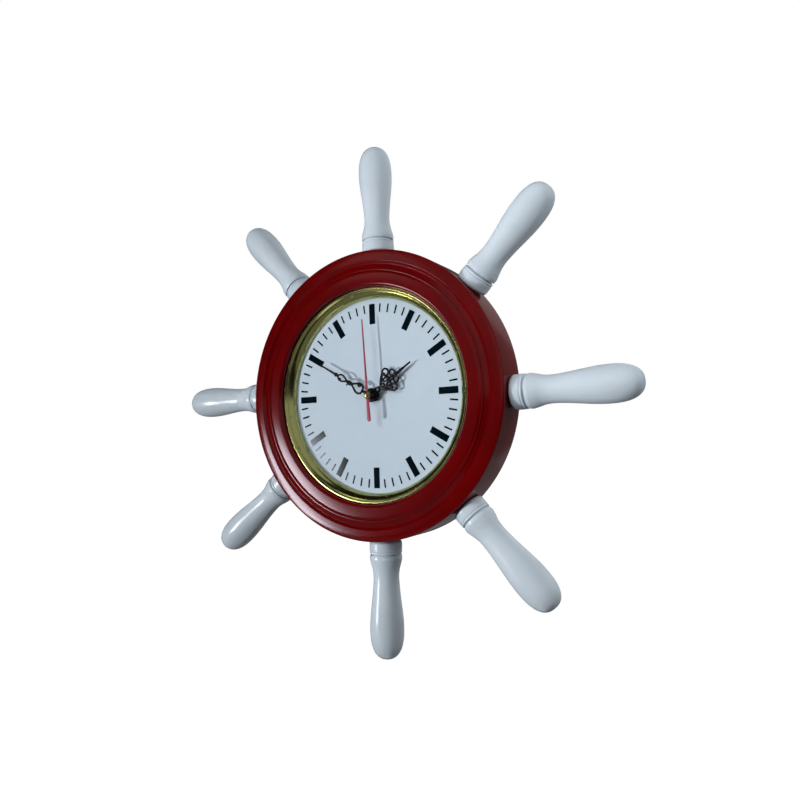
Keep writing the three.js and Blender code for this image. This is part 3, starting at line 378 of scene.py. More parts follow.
def red_enamel(tints):
    """Glossy dark red enamel, brushed over turned wood."""
    finish = Finish("red_enamel", specular_ior_level=0.27, specular_tint=(0.95, 0.91, 1, 1))
    patches = finish.noise(22, 4)
    strokes = finish.line_noise(finish.axis_distance() + patches * 0.0015, 900, 3)
    peel = finish.noise(620, 2)
    dust = finish.specks(170, 0.055)
    body = finish.mix(patches.between(0.35, 0.7), tints.red, tints.red_shade)
    finish.set("Base Color", finish.mix(dust * 0.15, body, (0.2, 0.05, 0.05)))
    finish.set("Roughness", 0.08 + patches * 0.06 + strokes * 0.04 + dust * 0.2)
    finish.bump(peel * 0.4 + strokes * 0.4 + dust * 0.6, 0.000018)
    return finish.material


def white_enamel(tints):
    """Glossy white enamel on a turned handle, with faint grain under it."""
    finish = Finish("white_enamel", specular_ior_level=0.35, coat_roughness=0.08)
    patches = finish.noise(30, 3)
    grain = finish.noise(260, 3, vector=finish.stretched((1, 1, 0.08)))
    peel = finish.noise(420, 2)
    dust = finish.specks(140, 0.05)
    body = finish.mix(patches.between(0.35, 0.75), tints.white, tints.white_shade)
    finish.set("Base Color", finish.mix(dust * 0.3, body, (0.45, 0.45, 0.42)))
    finish.set("Roughness", 0.2 + patches * 0.12 + dust * 0.2)
    finish.set("Coat Weight", 0.15 + patches * 0.15)
    finish.bump(peel * 0.5 + grain * 0.5 + dust * 0.5, 0.00005)
    return finish.material


def polished_brass(tints):
    """Spun and polished brass with fine turning lines and a little tarnish."""
    finish = Finish("polished_brass", metallic=1.0)
    patches = finish.noise(45, 4)
    lines = finish.line_noise(finish.axis_distance(), 5200, 2)
    tarnish = finish.noise(240, 4).between(0.58, 0.78)
    bright = finish.mix(patches, tints.brass, tints.brass_pale)
    finish.set("Base Color", finish.mix(tarnish * 0.3, bright, tints.brass_dark))
    lip_start, lip_end = 0.0908, 0.0916
    lip = finish.axis_distance().between(lip_start, lip_end)
    finish.set("Roughness", 0.12 + lines * 0.08 + tarnish * 0.16 + lip * 0.02)
    finish.bump(lines * 0.7 + patches * 0.3, 0.00001)
    return finish.material


def turned_brass(tints):
    """Semi-bright brass of the small fittings."""
    finish = Finish("turned_brass", metallic=1.0)
    patches = finish.noise(700, 3)
    lines = finish.line_noise(finish.axis_distance(), 14000, 2)
    finish.set("Base Color", finish.mix(patches.between(0.4, 0.8), tints.brass, tints.brass_dark))
    finish.set("Roughness", 0.2 + lines * 0.12 + patches * 0.08)
    finish.bump(lines, 0.000008)
    return finish.material


def satin_dial(tints):
    """Satin white of the dial sheet, with a faint mottle."""
    finish = Finish("satin_dial", specular_ior_level=0.25)
    mottle = finish.noise(60, 5)
    tooth = finish.noise(2600, 2)
    dust = finish.specks(95, 0.04)
    finish.set("Base Color", finish.mix(mottle.between(0.4, 0.8) * 0.5, tints.dial, tints.dial_mottle))
    finish.set("Roughness", 0.48 + mottle * 0.12 + dust * 0.2)
    finish.bump(tooth * 0.6 + mottle * 0.4, 0.00001)
    return finish.material


def gloss_ink(tints):
    """Printed black that stands a hair above the dial and shines."""
    finish = Finish("gloss_ink", specular_ior_level=0.22, specular_tint=(0.8, 0.95, 1, 1))
    mottle = finish.noise(900, 4)
    finish.set("Base Color", finish.mix(mottle, tints.ink, (0.002, 0.007, 0.012)))
    finish.set("Roughness", 0.06 + mottle * 0.03)
    finish.bump(mottle, 0.000003)
    return finish.material


def blacked_metal(tints):
    """Blackened steel of the nut and washer, rubbed a little in patches."""
    finish = Finish("blacked_steel", specular_ior_level=0.4)
    mottle = finish.noise(900, 4)
    lines = finish.line_noise(finish.axis_distance(), 12000, 2)
    rubbed = mottle.between(0.55, 0.8) * 0.4
    finish.set("Base Color", finish.mix(rubbed, tints.blacking, (0.03, 0.028, 0.026)))
    finish.set("Roughness", 0.32 + mottle * 0.12 + lines * 0.08)
    finish.bump(lines, 0.000008)
    return finish.material


def sheet_enamel(name, tint, wear, specular):
    """Enamel on blanked sheet, with small chips worn through it here and there."""
    finish = Finish(name, specular_ior_level=specular)
    mottle = finish.noise(1100, 4)
    chips = finish.noise(2600, 5).between(0.66, 0.72)
    finish.set("Base Color", finish.mix(chips * 0.35, tint, wear))
    finish.set("Roughness", 0.28 + mottle * 0.14)
    finish.bump(mottle * 0.8 - chips * 0.5, 0.000012)
    return finish.material


def pressed_board(tints):
    """Pressed fibre board: brown, with fine fibres and dark flecks."""
    finish = Finish("pressed_board", specular_ior_level=0.2)
    fibres = finish.noise(850, 6, 0.7, finish.stretched((1, 1, 0.35)), 1.2)
    flecks = finish.noise(330, 4, 0.6).between(0.6, 0.68)
    broad = finish.noise(14, 3)
    body = finish.mix(fibres, (0.13, 0.062, 0.027), tints.board)
    aged = finish.mix(broad.between(0.4, 0.8) * 0.4, body, (0.27, 0.16, 0.08))
    finish.set("Base Color", finish.mix(flecks * 0.7, aged, (0.05, 0.024, 0.012)))
    finish.set("Roughness", 0.72 + fibres * 0.2)
    finish.bump(fibres + flecks * -0.4, 0.00012)
    return finish.material


def moulded_plastic(name, tint, worn, roughness, grain_depth):
    """Moulded plastic with a fine spark-eroded grain and slight wear."""
    finish = Finish(name, specular_ior_level=0.45)
    grain = finish.noise(3400, 3, 0.6)
    scuffs = finish.noise(120, 5, 0.6, finish.stretched((1, 1, 0.3))).between(0.58, 0.8)
    finish.set("Base Color", finish.mix(scuffs * 0.4 + grain * 0.15, tint, worn))
    finish.set("Roughness", roughness + grain * 0.12 - scuffs * 0.1)
    finish.bump(grain, grain_depth)
    return finish.material


def sheet_metal(name, tint, stain, roughness):
    """Rolled, plated sheet with faint rolling lines and stains."""
    finish = Finish(name, metallic=1.0)
    lines = finish.noise(2200, 3, 0.6, finish.stretched((0.05, 1, 1)))
    stains = finish.noise(210, 5, 0.65).between(0.52, 0.78)
    finish.set("Base Color", finish.mix(stains * 0.6, tint, stain))
    finish.set("Roughness", roughness + lines * 0.12 + stains * 0.15)
    finish.bump(lines, 0.00001)
    return finish.material


def rubber_finish():
    """Matt black rubber with bloom."""
    finish = Finish("gasket_rubber", specular_ior_level=0.3)
    bloom = finish.noise(420, 5)
    finish.set("Base Color", finish.mix(bloom, (0.012, 0.012, 0.012), (0.035, 0.034, 0.032)))
    finish.set("Roughness", 0.75 + bloom * 0.2)
    finish.bump(bloom, 0.00003)
    return finish.material


def wound_copper():
    """Close turns of enamelled copper wire, round an axis along X."""
    finish = Finish("wound_copper", metallic=1.0)
    bands = {"bands_direction": "X", "wave_profile": "SIN"}
    turns = finish.node("ShaderNodeTexWave", bands, {"Scale": 3000.0, "Vector": finish.place()})
    drift = finish.noise(600, 3)
    finish.set("Base Color", finish.mix(drift, (0.52, 0.2, 0.08), (0.36, 0.11, 0.04)))
    finish.set("Roughness", 0.24 + drift * 0.12)
    finish.bump(turns, 0.00004)
    return finish.material


def circuit_finish():
    """Green solder mask with faint copper tracks under it."""
    finish = Finish("circuit_green", specular_ior_level=0.5)
    bricks = {"Vector": finish.place(), "Scale": 260.0, "Mortar Size": 0.12}
    tracks = finish.node("ShaderNodeTexBrick", None, bricks, "Fac")
    weave = finish.noise(3000, 2)
    body = finish.mix(weave, (0.012, 0.1, 0.04), (0.02, 0.14, 0.055))
    finish.set("Base Color", finish.mix(tracks * 0.5, body, (0.05, 0.24, 0.1)))
    finish.set("Roughness", 0.3 + weave * 0.15)
    finish.bump(tracks * 0.7 + weave * 0.3, 0.00002)
    return finish.material


def printed_sleeve(start, shoulder):
    """The cell's dark sleeve with a copper band at its positive end, and bare metal at both ends."""
    finish = Finish("cell_sleeve", specular_ior_level=0.5)
    along = finish.node("ShaderNodeSeparateXYZ", None, {0: finish.place()}, "X")
    edge = 0.0001
    band_start = shoulder - 0.012
    sleeve_start, sleeve_end = start + 0.0004, shoulder - 0.0003
    band = along.between(band_start - edge, band_start)
    bare = along.between(sleeve_end - edge, sleeve_end)
    bare = bare + (1 - along.between(sleeve_start, sleeve_start + edge))
    scuffs = finish.noise(260, 4, 0.6, finish.stretched((0.2, 1, 1)))
    body = finish.mix(band, (0.028, 0.032, 0.04), (0.42, 0.2, 0.07))
    worn = finish.mix(scuffs.between(0.55, 0.8) * 0.3, body, (0.1, 0.1, 0.1))
    finish.set("Base Color", finish.mix(bare, worn, (0.6, 0.6, 0.58)))
    finish.set("Metallic", bare)
    finish.set("Roughness", 0.26 + scuffs * 0.14)
    finish.bump(scuffs, 0.00001)
    return finish.material


# Mesh helpers


def arc_points(centre, radii, start, end, steps):
    """Points on an ellipse's arc, angles in degrees."""
    angles = np.radians(np.linspace(start, end, steps + 1))
    return [(centre[0] + radii[0] * math.cos(a), centre[1] + radii[1] * math.sin(a)) for a in angles]


def rounded(corners, step=12):
    """Rounds the corners of a closed outline, with a point at every step of so many degrees at least.

    Each corner is (radius, y) or (radius, y, rounding).
    """
    points = []
    count = len(corners)
    for i, corner in enumerate(corners):
        here = Vector(corner[:2])
        if len(corner) == 2 or corner[2] <= 0:
            points.append(tuple(here))
            continue
        before = (Vector(corners[i - 1][:2]) - here).normalized()
        after = (Vector(corners[(i + 1) % count][:2]) - here).normalized()
        opening = before.angle(after)
        reach = corner[2] / math.tan(opening / 2)
        middle = here + (before + after).normalized() * (corner[2] / math.sin(opening / 2))
        first = here + before * reach - middle
        last = here + after * reach - middle
        turn = first.angle_signed(last)
        steps = max(2, math.ceil(abs(math.degrees(turn)) / step))
        for k in range(steps + 1):
            spun = first.copy()
            spun.rotate(Matrix.Rotation(-turn * k / steps, 2))
            points.append(tuple(middle + spun))
    return points


def smooth_line(knots, steps):
    """A smooth line through the knots, which are (radius, place along the axis)."""
    padded = [knots[0], *knots, knots[-1]]
    points = []
    for a, b, c, d in zip(padded, padded[1:], padded[2:], padded[3:]):
        a, b, c, d = (Vector(k) for k in (a, b, c, d))
        for k in range(steps):
            t = k / steps
            point = 0.5 * (
                2 * b + (c - a) * t + (2 * a - 5 * b + 4 * c - d) * t**2 + (3 * b - a - 3 * c + d) * t**3
            )
            points.append(tuple(point))
    points.append(tuple(knots[-1]))
    return points


def mesh_object(name, vertices, faces):
    """An object from points and faces, shaded smooth except over sharp edges."""
    mesh = bpy.data.meshes.new(name)
    mesh.from_pydata(vertices, [], faces)
    return dress_mesh(name, mesh)


def dress_mesh(name, mesh, sharp=35):
    """Welds a mesh, turns its faces outwards, shades it and links an object of it."""
    shaper = bmesh.new()
    shaper.from_mesh(mesh)
    bmesh.ops.remove_doubles(shaper, verts=shaper.verts, dist=1e-8)
    bmesh.ops.recalc_face_normals(shaper, faces=shaper.faces)
    shaper.to_mesh(mesh)
    shaper.free()
    mesh.shade_smooth()
    mesh.set_sharp_from_angle(angle=math.radians(sharp))
    piece = bpy.data.objects.new(name, mesh)
    bpy.context.scene.collection.objects.link(piece)
    return piece


def revolve(name, outline, segments, closed=True):
    """Turns an outline of (radius, y) about the Y axis; an open one starts and ends on the axis."""
    vertices, rings = [], []
    for radius, y in outline:
        if radius < 1e-7:
            rings.append([len(vertices)] * segments)
            vertices.append((0, y, 0))
            continue
        rings.append(list(range(len(vertices), len(vertices) + segments)))
        for i in range(segments):
            turn = 2 * math.pi * i / segments
            vertices.append((radius * math.cos(turn), y, radius * math.sin(turn)))
    if closed:
        rings.append(rings[0])
    faces = []
    for first, second in zip(rings, rings[1:]):
        for i in range(segments):
            j = (i + 1) % segments
            corners = [first[i], first[j], second[j], second[i]]
            unique = list(dict.fromkeys(corners))
            if len(unique) > 2:
                faces.append(unique)
    return mesh_object(name, vertices, faces)


def cut_away(piece, cutter, sharp=35):
    """Cuts another object out of a piece and deletes it."""
    modifier = piece.modifiers.new("shape", "BOOLEAN")
    modifier.operation = "DIFFERENCE"
    modifier.solver = "EXACT"
    modifier.object = cutter
    shaped = bpy.data.meshes.new_from_object(piece.evaluated_get(bpy.context.evaluated_depsgraph_get()))
    piece.modifiers.clear()
    piece.data = shaped
    bpy.data.objects.remove(cutter)
    shaped.shade_smooth()
    shaped.set_sharp_from_angle(angle=math.radians(sharp))


def box_object(name, low, high):
    """A box between two corners."""
    low, high = Vector(low), Vector(high)
    shaper = bmesh.new()
    middle = Matrix.Translation((low + high) / 2) @ Matrix.Diagonal((*(high - low), 1))
    bmesh.ops.create_cube(shaper, size=1, matrix=middle)
    mesh = bpy.data.meshes.new(name)
    shaper.to_mesh(mesh)
    shaper.free()
    return dress_mesh(name, mesh)


def flat_ring(node, bore, front_round, back_round):
    """The outline of a turned ring that fills a CAD node's box, with its outer edges rounded."""
    low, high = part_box(node)
    front = (high.x, low.y, front_round)
    back = (high.x, high.y, back_round)
    return rounded([(bore, low.y), front, back, (bore, high.y)])


def stand_at(piece, node):
    """Moves a piece that was turned about the dial's axis to a CAD node's own axis."""
    low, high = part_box(node)
    piece.data.transform(Matrix.Translation(((low.x + high.x) / 2, 0, (low.z + high.z) / 2)))


def clock_turn(turn):
    """Turns clockwise about the dial's axis, as seen from the front."""
    return Matrix.Rotation(turn, 4, "Y")


def install(piece, body, slot, material, *nodes):
    """Gives a piece its finish and its body, and hides the CAD nodes that it stands for; its slot is not
    used.
    """
    piece.data.materials.clear()
    piece.data.materials.append(material)
    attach(piece, body)
    if nodes:
        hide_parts(*nodes)


def dress_node(node, material, bevel=0.0):
    """Gives a CAD node that stays its finish and softened edges."""
    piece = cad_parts[node]
    piece.data.materials.clear()
    piece.data.materials.append(material)
    if bevel:
        modifier = piece.modifiers.new("soft_edges", "BEVEL")
        modifier.width = bevel
        modifier.segments = 2
        modifier.limit_method = "ANGLE"
        modifier.angle_limit = math.radians(40)


# Hand outlines

GRID_STEP = 0.08


class Sketch:
    """A flat outline in millimetres, kept as its distance field. It points along y."""

    def __init__(self, x_reach, y_low, y_high):
        self.low = (-x_reach, y_low)
        columns = np.arange(-x_reach, x_reach + GRID_STEP, GRID_STEP)
        rows = np.arange(y_low, y_high + GRID_STEP, GRID_STEP)
        self.x, self.y = np.meshgrid(columns, rows, indexing="ij")
        self.field = np.full(self.x.shape, 1e3)

    def disc(self, x, y, radius_x, radius_y=None):
        radius_y = radius_y or radius_x
        stretch = np.hypot((self.x - x) / radius_x, (self.y - y) / radius_y)
        return (stretch - 1) * min(radius_x, radius_y)

    def bar(self, start, end):
        """A bar with round ends; each end is (x, y, half width)."""
        x0, y0, w0 = start
        x1, y1, w1 = end
        dx, dy = x1 - x0, y1 - y0
        share = ((self.x - x0) * dx + (self.y - y0) * dy) / (dx * dx + dy * dy)
        share = np.clip(share, 0, 1)
        away = np.hypot(self.x - x0 - dx * share, self.y - y0 - dy * share)
        return away - (w0 + (w1 - w0) * share)

    def stroke(self, points):
        """A curved stroke through (x, y, half width) points."""
        fields = [self.bar(a, b) for a, b in zip(points, points[1:])]
        return np.minimum.reduce(fields)

    def add(self, *fields):
        for field in fields:
            self.field = np.minimum(self.field, field)

    def thicken(self, amount):
        self.field = self.field - amount

    def cut(self, *fields):
        for field in fields:
            self.field = np.maximum(self.field, -field)

    def loops(self):
        """The outline's closed loops, traced through the grid."""
        inside = self.field < 0
        pattern = inside[:-1, :-1] * 1 + inside[1:, :-1] * 2 + inside[1:, 1:] * 4 + inside[:-1, 1:] * 8
        links = {}
        for i, j in np.argwhere((pattern > 0) & (pattern < 15)):
            sides = {0: (i, j, 0), 1: (i + 1, j, 1), 2: (i, j + 1, 0), 3: (i, j, 1)}
            for start, end in TRACE[int(pattern[i, j])]:
                links[sides[start]] = sides[end]
        loops = []
        while links:
            first, here = links.popitem()
            loop = [self.crossing(first)]
            while here != first:
                loop.append(self.crossing(here))
                here = links.pop(here)
            loops.append(loop)
        return loops

    def crossing(self, side):
        """Where the outline crosses a grid side: direction 0 runs along x, 1 along y."""
        i, j, direction = side
        k, m = (i + 1, j) if direction == 0 else (i, j + 1)
        here, there = self.field[i, j], self.field[k, m]
        share = here / (here - there)
        return (
            self.low[0] + (i + (k - i) * share) * GRID_STEP,
            self.low[1] + (j + (m - j) * share) * GRID_STEP,
        )


# Which sides of a grid cell the outline enters and leaves by, for each pattern of corners inside it
TRACE = {
    1: [(0, 3)],
    2: [(1, 0)],
    3: [(1, 3)],
    4: [(2, 1)],
    5: [(0, 3), (2, 1)],
    6: [(2, 0)],
    7: [(2, 3)],
    8: [(3, 2)],
    9: [(0, 2)],
    10: [(1, 0), (3, 2)],
    11: [(1, 2)],
    12: [(3, 1)],
    13: [(0, 1)],
    14: [(3, 0)],
}


def blanked(name, sketch, thickness, ahead, direction):
    """A flat plate cut to a sketch, with softened edges, ahead of the dial and turned to its direction."""
    edge = 0.00007
    # A loop of fewer points is a speck that the grid leaves between two shapes
    fewest_points = 12
    face = bpy.context.scene.clock_dial.face
    curve = bpy.data.curves.new(name, "CURVE")
    curve.dimensions = "2D"
    curve.fill_mode = "BOTH"
    curve.extrude = thickness / 2 - edge
    curve.bevel_depth = edge
    curve.bevel_resolution = 1
    curve.offset = -edge
    for loop in sketch.loops():
        if len(loop) < fewest_points:
            continue
        spline = curve.splines.new("POLY")
        spline.points.add(len(loop) - 1)
        for point, (x, y) in zip(spline.points, loop):
            point.co = (x * MM, y * MM, 0, 1)
        spline.use_cyclic_u = True
    flat = bpy.data.objects.new(name + "_flat", curve)
    bpy.context.scene.collection.objects.link(flat)
    bpy.context.view_layer.update()
    mesh = bpy.data.meshes.new_from_object(flat.evaluated_get(bpy.context.evaluated_depsgraph_get()))
    bpy.data.objects.remove(flat)
    upright = Matrix(((1, 0, 0, 0), (0, 0, -1, -face - ahead), (0, 1, 0, 0), (0, 0, 0, 1)))
    mesh.transform(clock_turn(direction) @ upright)
    return dress_mesh(name, mesh, 50)


def both(shape, x, *rest):
    """A shape at x and its mirror image at -x."""
    return [shape(x, *rest), shape(-x, *rest)]


def hour_sketch(tip):
    """A pierced cluster of scrolls behind a fine point with two beads."""
    s = Sketch(14, -7, tip / MM + 2)
    s.add(s.disc(0, 0, 6), s.disc(0, 7.7, 2.7, 3.1), s.disc(0, 11.2, 1.3))
    s.add(s.disc(0, 14.2, 1.9, 2.6), s.disc(0, 24.3, 1.8, 3.9))
    s.add(*both(s.disc, 2.7, 19.8, 1.9, 3.3), *both(s.disc, 7.8, 22.9, 3.7), *both(s.disc, 3.6, 28.2, 3.1))
    s.add(s.bar((0, 28.5, 1.6), (0, 32.6, 1.1)))
    s.add(s.bar((0, 32.6, 0.9), (0, tip / MM, 0.5)))
    s.add(s.disc(0, 35.7, 1.25, 1), s.disc(0, 38.4, 1.05, 0.85))
    for side in (-1, 1):
        s.add(s.stroke([(side * 0.6, 12, 0.9), (side * 4.9, 15.8, 1.1), (side * 9.6, 20.4, 0.7)]))
    s.cut(s.disc(0, 7.8, 1.3, 1.6), s.disc(0, 14.3, 0.75, 1.4), s.disc(0, 24.3, 0.75, 2.6))
    s.cut(*both(s.disc, 2.7, 19.8, 0.8, 2.1), *both(s.disc, 7.8, 22.9, 2.5), *both(s.disc, 3.6, 28.2, 1.95))
    for side in (-1, 1):
        s.add(s.stroke([(side * 5.2, 21.6, 0.5), (side * 6.2, 20.8, 0.8), (side * 7.4, 21.1, 1)]))
    s.thicken(0.22)
    s.cut(s.disc(0, 0, 2.55))
    return s


def minute_sketch(tip):
    """Two scroll loops, one behind the other, and a long needle."""
    s = Sketch(7, -5, tip / MM + 2)
    s.add(s.disc(0, 0, 3.6), s.bar((0, 3, 1.3), (0, 8.6, 1)), s.disc(0, 8.4, 1.7, 1.1))
    near = [
        (0, 8.2, 0.9),
        (2.7, 8.8, 0.75),
        (4.3, 11.4, 0.8),
        (4.1, 14.4, 0.8),
        (2.3, 17.6, 0.75),
        (0.8, 20.2, 0.75),
    ]
    far = [
        (0, 27, 0.75),
        (1.3, 29.2, 0.65),
        (2.7, 32.6, 0.7),
        (2.6, 35.2, 0.65),
        (1.2, 37.2, 0.65),
        (0, 38, 0.65),
    ]
    for side in (-1, 1):
        for line in (near, far):
            s.add(s.stroke([(side * x, y, half) for x, y, half in line]))
    s.add(s.disc(0, 23.6, 1.9, 3.8), s.bar((0.4, 23.4, 0.9), (-3.2, 25.8, 0.4)))
    s.add(s.disc(2.9, 13.4, 1.7, 1.9), s.disc(-1.9, 35, 1.4, 1.6))
    s.add(s.bar((0, 38, 1.1), (0, 43, 0.8)), s.disc(0, 40.3, 1.7, 1.9))
    s.add(s.bar((0, 42.5, 0.85), (0, tip / MM, 0.5)))
    s.thicken(0.16)
    s.cut(s.disc(0, 0, 1.75))
    return s


def second_sketch(tip, tail):
    """A tapered strip with a rounded, wider tail."""
    s = Sketch(4, -tail / MM - 2, tip / MM + 2)
    tail_half_width = 1.9
    s.add(s.bar((0, tail_half_width - tail / MM, tail_half_width), (0, 0, 1.2)))
    s.add(s.bar((0, 0, 1.1), (0, tip / MM, 0.55)), s.disc(0, 0, 2.2))
    s.cut(s.disc(0, 0, 0.75))
    return s


# Operators


class CLOCK_OT_ring(bpy.types.Operator):
    """Build the red turned ring with its crest, bead, cove and outer band"""

    bl_idname = "clock.ring"
    bl_label = "Ring"

    def execute(self, context):
        s = context.scene.clock_ring
        front = -s.thickness
        band = front + s.band_step
        foot = front + s.bead_drop
        half_bead = s.bead_width / 2
        half_flat = half_bead * 0.5
        bead_radii = (half_bead - half_flat, half_bead * 0.5)
        fall = s.outer_radius - s.band_radius
        back_chamfer = 0.0014
        fine_round = 0.0005
        step_round = 0.0006
        band_swell = 0.01
        outline = [
            *rounded(
                [
                    (s.recess_radius, 0, fine_round),
                    (s.outer_radius, 0, back_chamfer),
                    (s.outer_radius, band + s.band_fall, s.edge_round),
                    (s.outer_radius - fall * 0.3, band + s.band_fall * 0.35, band_swell),
                    (s.outer_radius - fall * 0.55, band, band_swell),
                    (s.band_radius, band, step_round),
                    (s.cove_radius, front + s.cove_drop, fine_round),
                    (s.bead_radius + half_bead, foot + 0.0002, 0.0001),
                ],
                step=7,
            ),
            *arc_points((s.bead_radius + half_flat, foot), bead_radii, 0, -90, 4),
            *arc_points((s.bead_radius - half_flat, foot), bead_radii, -90, -180, 4),
            *self.quarter(s.crest_radius, front, s.crest_round, -72, -90, 6),
            *self.quarter(s.bore_radius + s.bore_round, front, s.bore_round, -90, -180, 12),
            (s.bore_radius, -s.shoulder),
            (s.recess_radius, -s.shoulder),
        ]
        ring = revolve("ring_moulding", outline, 288)
        cut_away(ring, self.hanger_pocket(), 30)
        install(ring, "case", "red_paint", red_enamel(context.scene.clock_finishes), "wheel_body")
        return {"FINISHED"}

    def quarter(self, radius, front, rounding, start, end, steps):
        """Part of a rounding that touches the front plane at a radius."""
        return arc_points((radius, front + rounding), (rounding, rounding), start, end, steps)

    def hanger_pocket(self):
        """A box a little larger than the hanger, open at the ring's back."""
        low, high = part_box("hanger_plate")
        spare = Vector((0.0002, 0.0002, 0.0002))
        behind = Vector((0, 0.01, 0))
        return box_object("hanger_pocket", low - spare, high + spare + behind)


class CLOCK_OT_handles(bpy.types.Operator):
    """Build the eight turned white handles, each with its own direction, lean and reach"""

    bl_idname = "clock.handles"
    bl_label = "Handles"

    def execute(self, context):
        s = context.scene.clock_handles
        wall = context.scene.clock_ring.outer_radius
        finish = white_enamel(context.scene.clock_finishes)
        for i in range(1, 9):
            node = f"handle_{i}"
            way, tip = self.axis(node)
            reach = self.wall_to_tip(way, tip, wall)
            foot = self.foot_start(s, way, tip, wall)
            outline = [*self.base(s, foot), *self.grip(s, reach)]
            handle = revolve(f"turned_{node}", outline, 96, closed=False)
            handle.data.transform(Matrix.Rotation(math.pi / 2, 4, "X"))
            upright = Vector((0, 0, 1)).rotation_difference(way).to_matrix().to_4x4()
            handle.matrix_world = Matrix.Translation(tip - way * reach) @ upright
            install(handle, "case", "white_paint", finish, node)
        return {"FINISHED"}

    def axis(self, node):
        """The way a handle points in the frame, and its tip."""
        points = np.array([vertex.co[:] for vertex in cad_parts[node].data.vertices])
        middle = points.mean(axis=0)
        way = np.linalg.svd(points - middle, full_matrices=False)[2][0]
        way = way * np.sign(way @ middle)
        tip = middle + way * ((points - middle) @ way).max()
        return Vector(way), Vector(tip)

    def wall_to_tip(self, way, tip, wall):
        """Length along the axis from the ring's round side wall to the tip."""
        along = tip.dot(way)
        across = tip.x**2 + tip.z**2 - wall**2
        return along - math.sqrt(along**2 - across)

    def foot_start(self, s, way, tip, wall):
        """How far up the axis a leaned foot starts, to clear the wall."""
        meeting = tip - way * self.wall_to_tip(way, tip, wall)
        lean = way.angle(Vector((meeting.x, 0, meeting.z)))
        foot_radius = s.base_radius - s.foot_round * 0.9
        curve = wall - math.sqrt(wall**2 - foot_radius**2)
        return max(0.0, foot_radius * math.sin(lean) - curve) + 0.0001

    def base(self, s, foot):
        """The tenon's stub, the rounded base, a fine line, the bead and the main groove."""
        stub_radius = 0.006
        stub_end = foot - 0.01
        bead = s.base_radius - 0.0001
        line_floor = s.base_radius - 0.0006
        groove_floor = s.base_radius - s.groove_depth
        middle = (s.bead_end + s.collar_start) / 2
        half_floor = 0.0006
        soft, fine = 0.0005, 0.0003
        line = [
            (stub_radius, stub_end),
            (stub_radius, foot),
            (s.base_radius - s.foot_round * 0.95, foot),
            (s.base_radius, foot, s.foot_round * 0.85),
            (s.base_radius, s.base_end, soft),
            (line_floor, (s.base_end + s.bead_start) / 2, fine),
            (bead, s.bead_start, soft),
            (bead, s.bead_end, fine),
            (groove_floor, middle - half_floor, fine),
            (groove_floor, middle + half_floor, fine),
            (bead, s.collar_start + 0.0001, 0.0004),
        ]
        return [(0.0, stub_end), *rounded(line)]

    def grip(self, s, reach):
        """The collar's cove, the neck, the swelling grip and its full round end."""
        fall = s.base_radius - s.neck_radius
        cove = s.neck - s.collar_start
        collar_width = 0.0022
        soft = 0.0006
        collar = s.collar_start + collar_width
        swell = s.belly_radius - s.neck_radius
        swell_steps, end_steps = 24, 36
        line = smooth_line(
            [
                (s.base_radius, collar - soft),
                (s.base_radius - fall * 0.04, collar + soft),
                (s.base_radius - fall * 0.37, collar + cove * 0.28),
                (s.base_radius - fall * 0.73, collar + cove * 0.5),
                (s.base_radius - fall * 0.92, collar + cove * 0.71),
                (s.neck_radius, s.neck),
            ],
            5,
        )
        belly = reach - s.belly_from_tip
        for i in range(1, swell_steps + 1):
            share = i / swell_steps
            radius = s.neck_radius + swell * share**2 * (3 - 2 * share)
            line.append((radius, s.neck + (belly - s.neck) * share))
        for i in range(1, end_steps):
            share = math.sin(math.pi / 2 * i / end_steps)
            radius = s.belly_radius * (1 - share**s.end_power) ** (1 / s.end_power)
            line.append((radius, belly + s.belly_from_tip * share))
        return [*line, (0.0, reach)]


class CLOCK_OT_bezel(bpy.types.Operator):
    """Build the spun brass bezel"""

    bl_idname = "clock.bezel"
    bl_label = "Bezel"

    def execute(self, context):
        s = context.scene.clock_dial
        ring = context.scene.clock_ring
        sheet = 0.0008
        gap = 0.0002
        flange_thickness = 0.0012
        flange_round = 0.0003
        outer = ring.bore_radius - gap
        lip = -s.face - s.lip_ahead
        flange_front = -ring.shoulder + gap
        flange_back = flange_front + flange_thickness
        slope = -s.face - s.slope_ahead
        foot = -s.face - gap
        lip_radii = (s.lip_round, s.lip_round)
        lip_outer = (outer - s.lip_round, lip + s.lip_round)
        lip_inner = (lip_outer[0] - s.lip_flat, lip_outer[1])
        top = math.radians(72)
        rise = (foot - slope) / math.sin(top)
        reach = (s.slope_radius - s.foot_radius) / (1 - math.cos(top))
        slope_line = [
            (s.foot_radius + reach * (1 - math.cos(turn)), foot - rise * math.sin(turn))
            for turn in np.linspace(top, 0, 13)
        ]
        outline = rounded(
            [
                (outer, flange_front),
                *arc_points(lip_outer, lip_radii, 0, -90, 9),
                *arc_points(lip_inner, lip_radii, -90, -140, 6),
                (s.slope_radius + s.bezel_groove, slope + s.bezel_groove),
                *slope_line,
                (s.foot_radius + sheet, foot),
                (s.slope_radius + sheet, slope + sheet * 2),
                (outer - sheet, slope + sheet * 2),
                (outer - sheet, flange_back),
                (s.flange_radius, flange_back, flange_round),
                (s.flange_radius, flange_front, flange_round),
            ],
            step=9,
        )
        bezel = revolve("spun_bezel", outline, 288)
        install(bezel, "case", "brass_bezel", polished_brass(context.scene.clock_finishes), "brass_bezel")
        return {"FINISHED"}


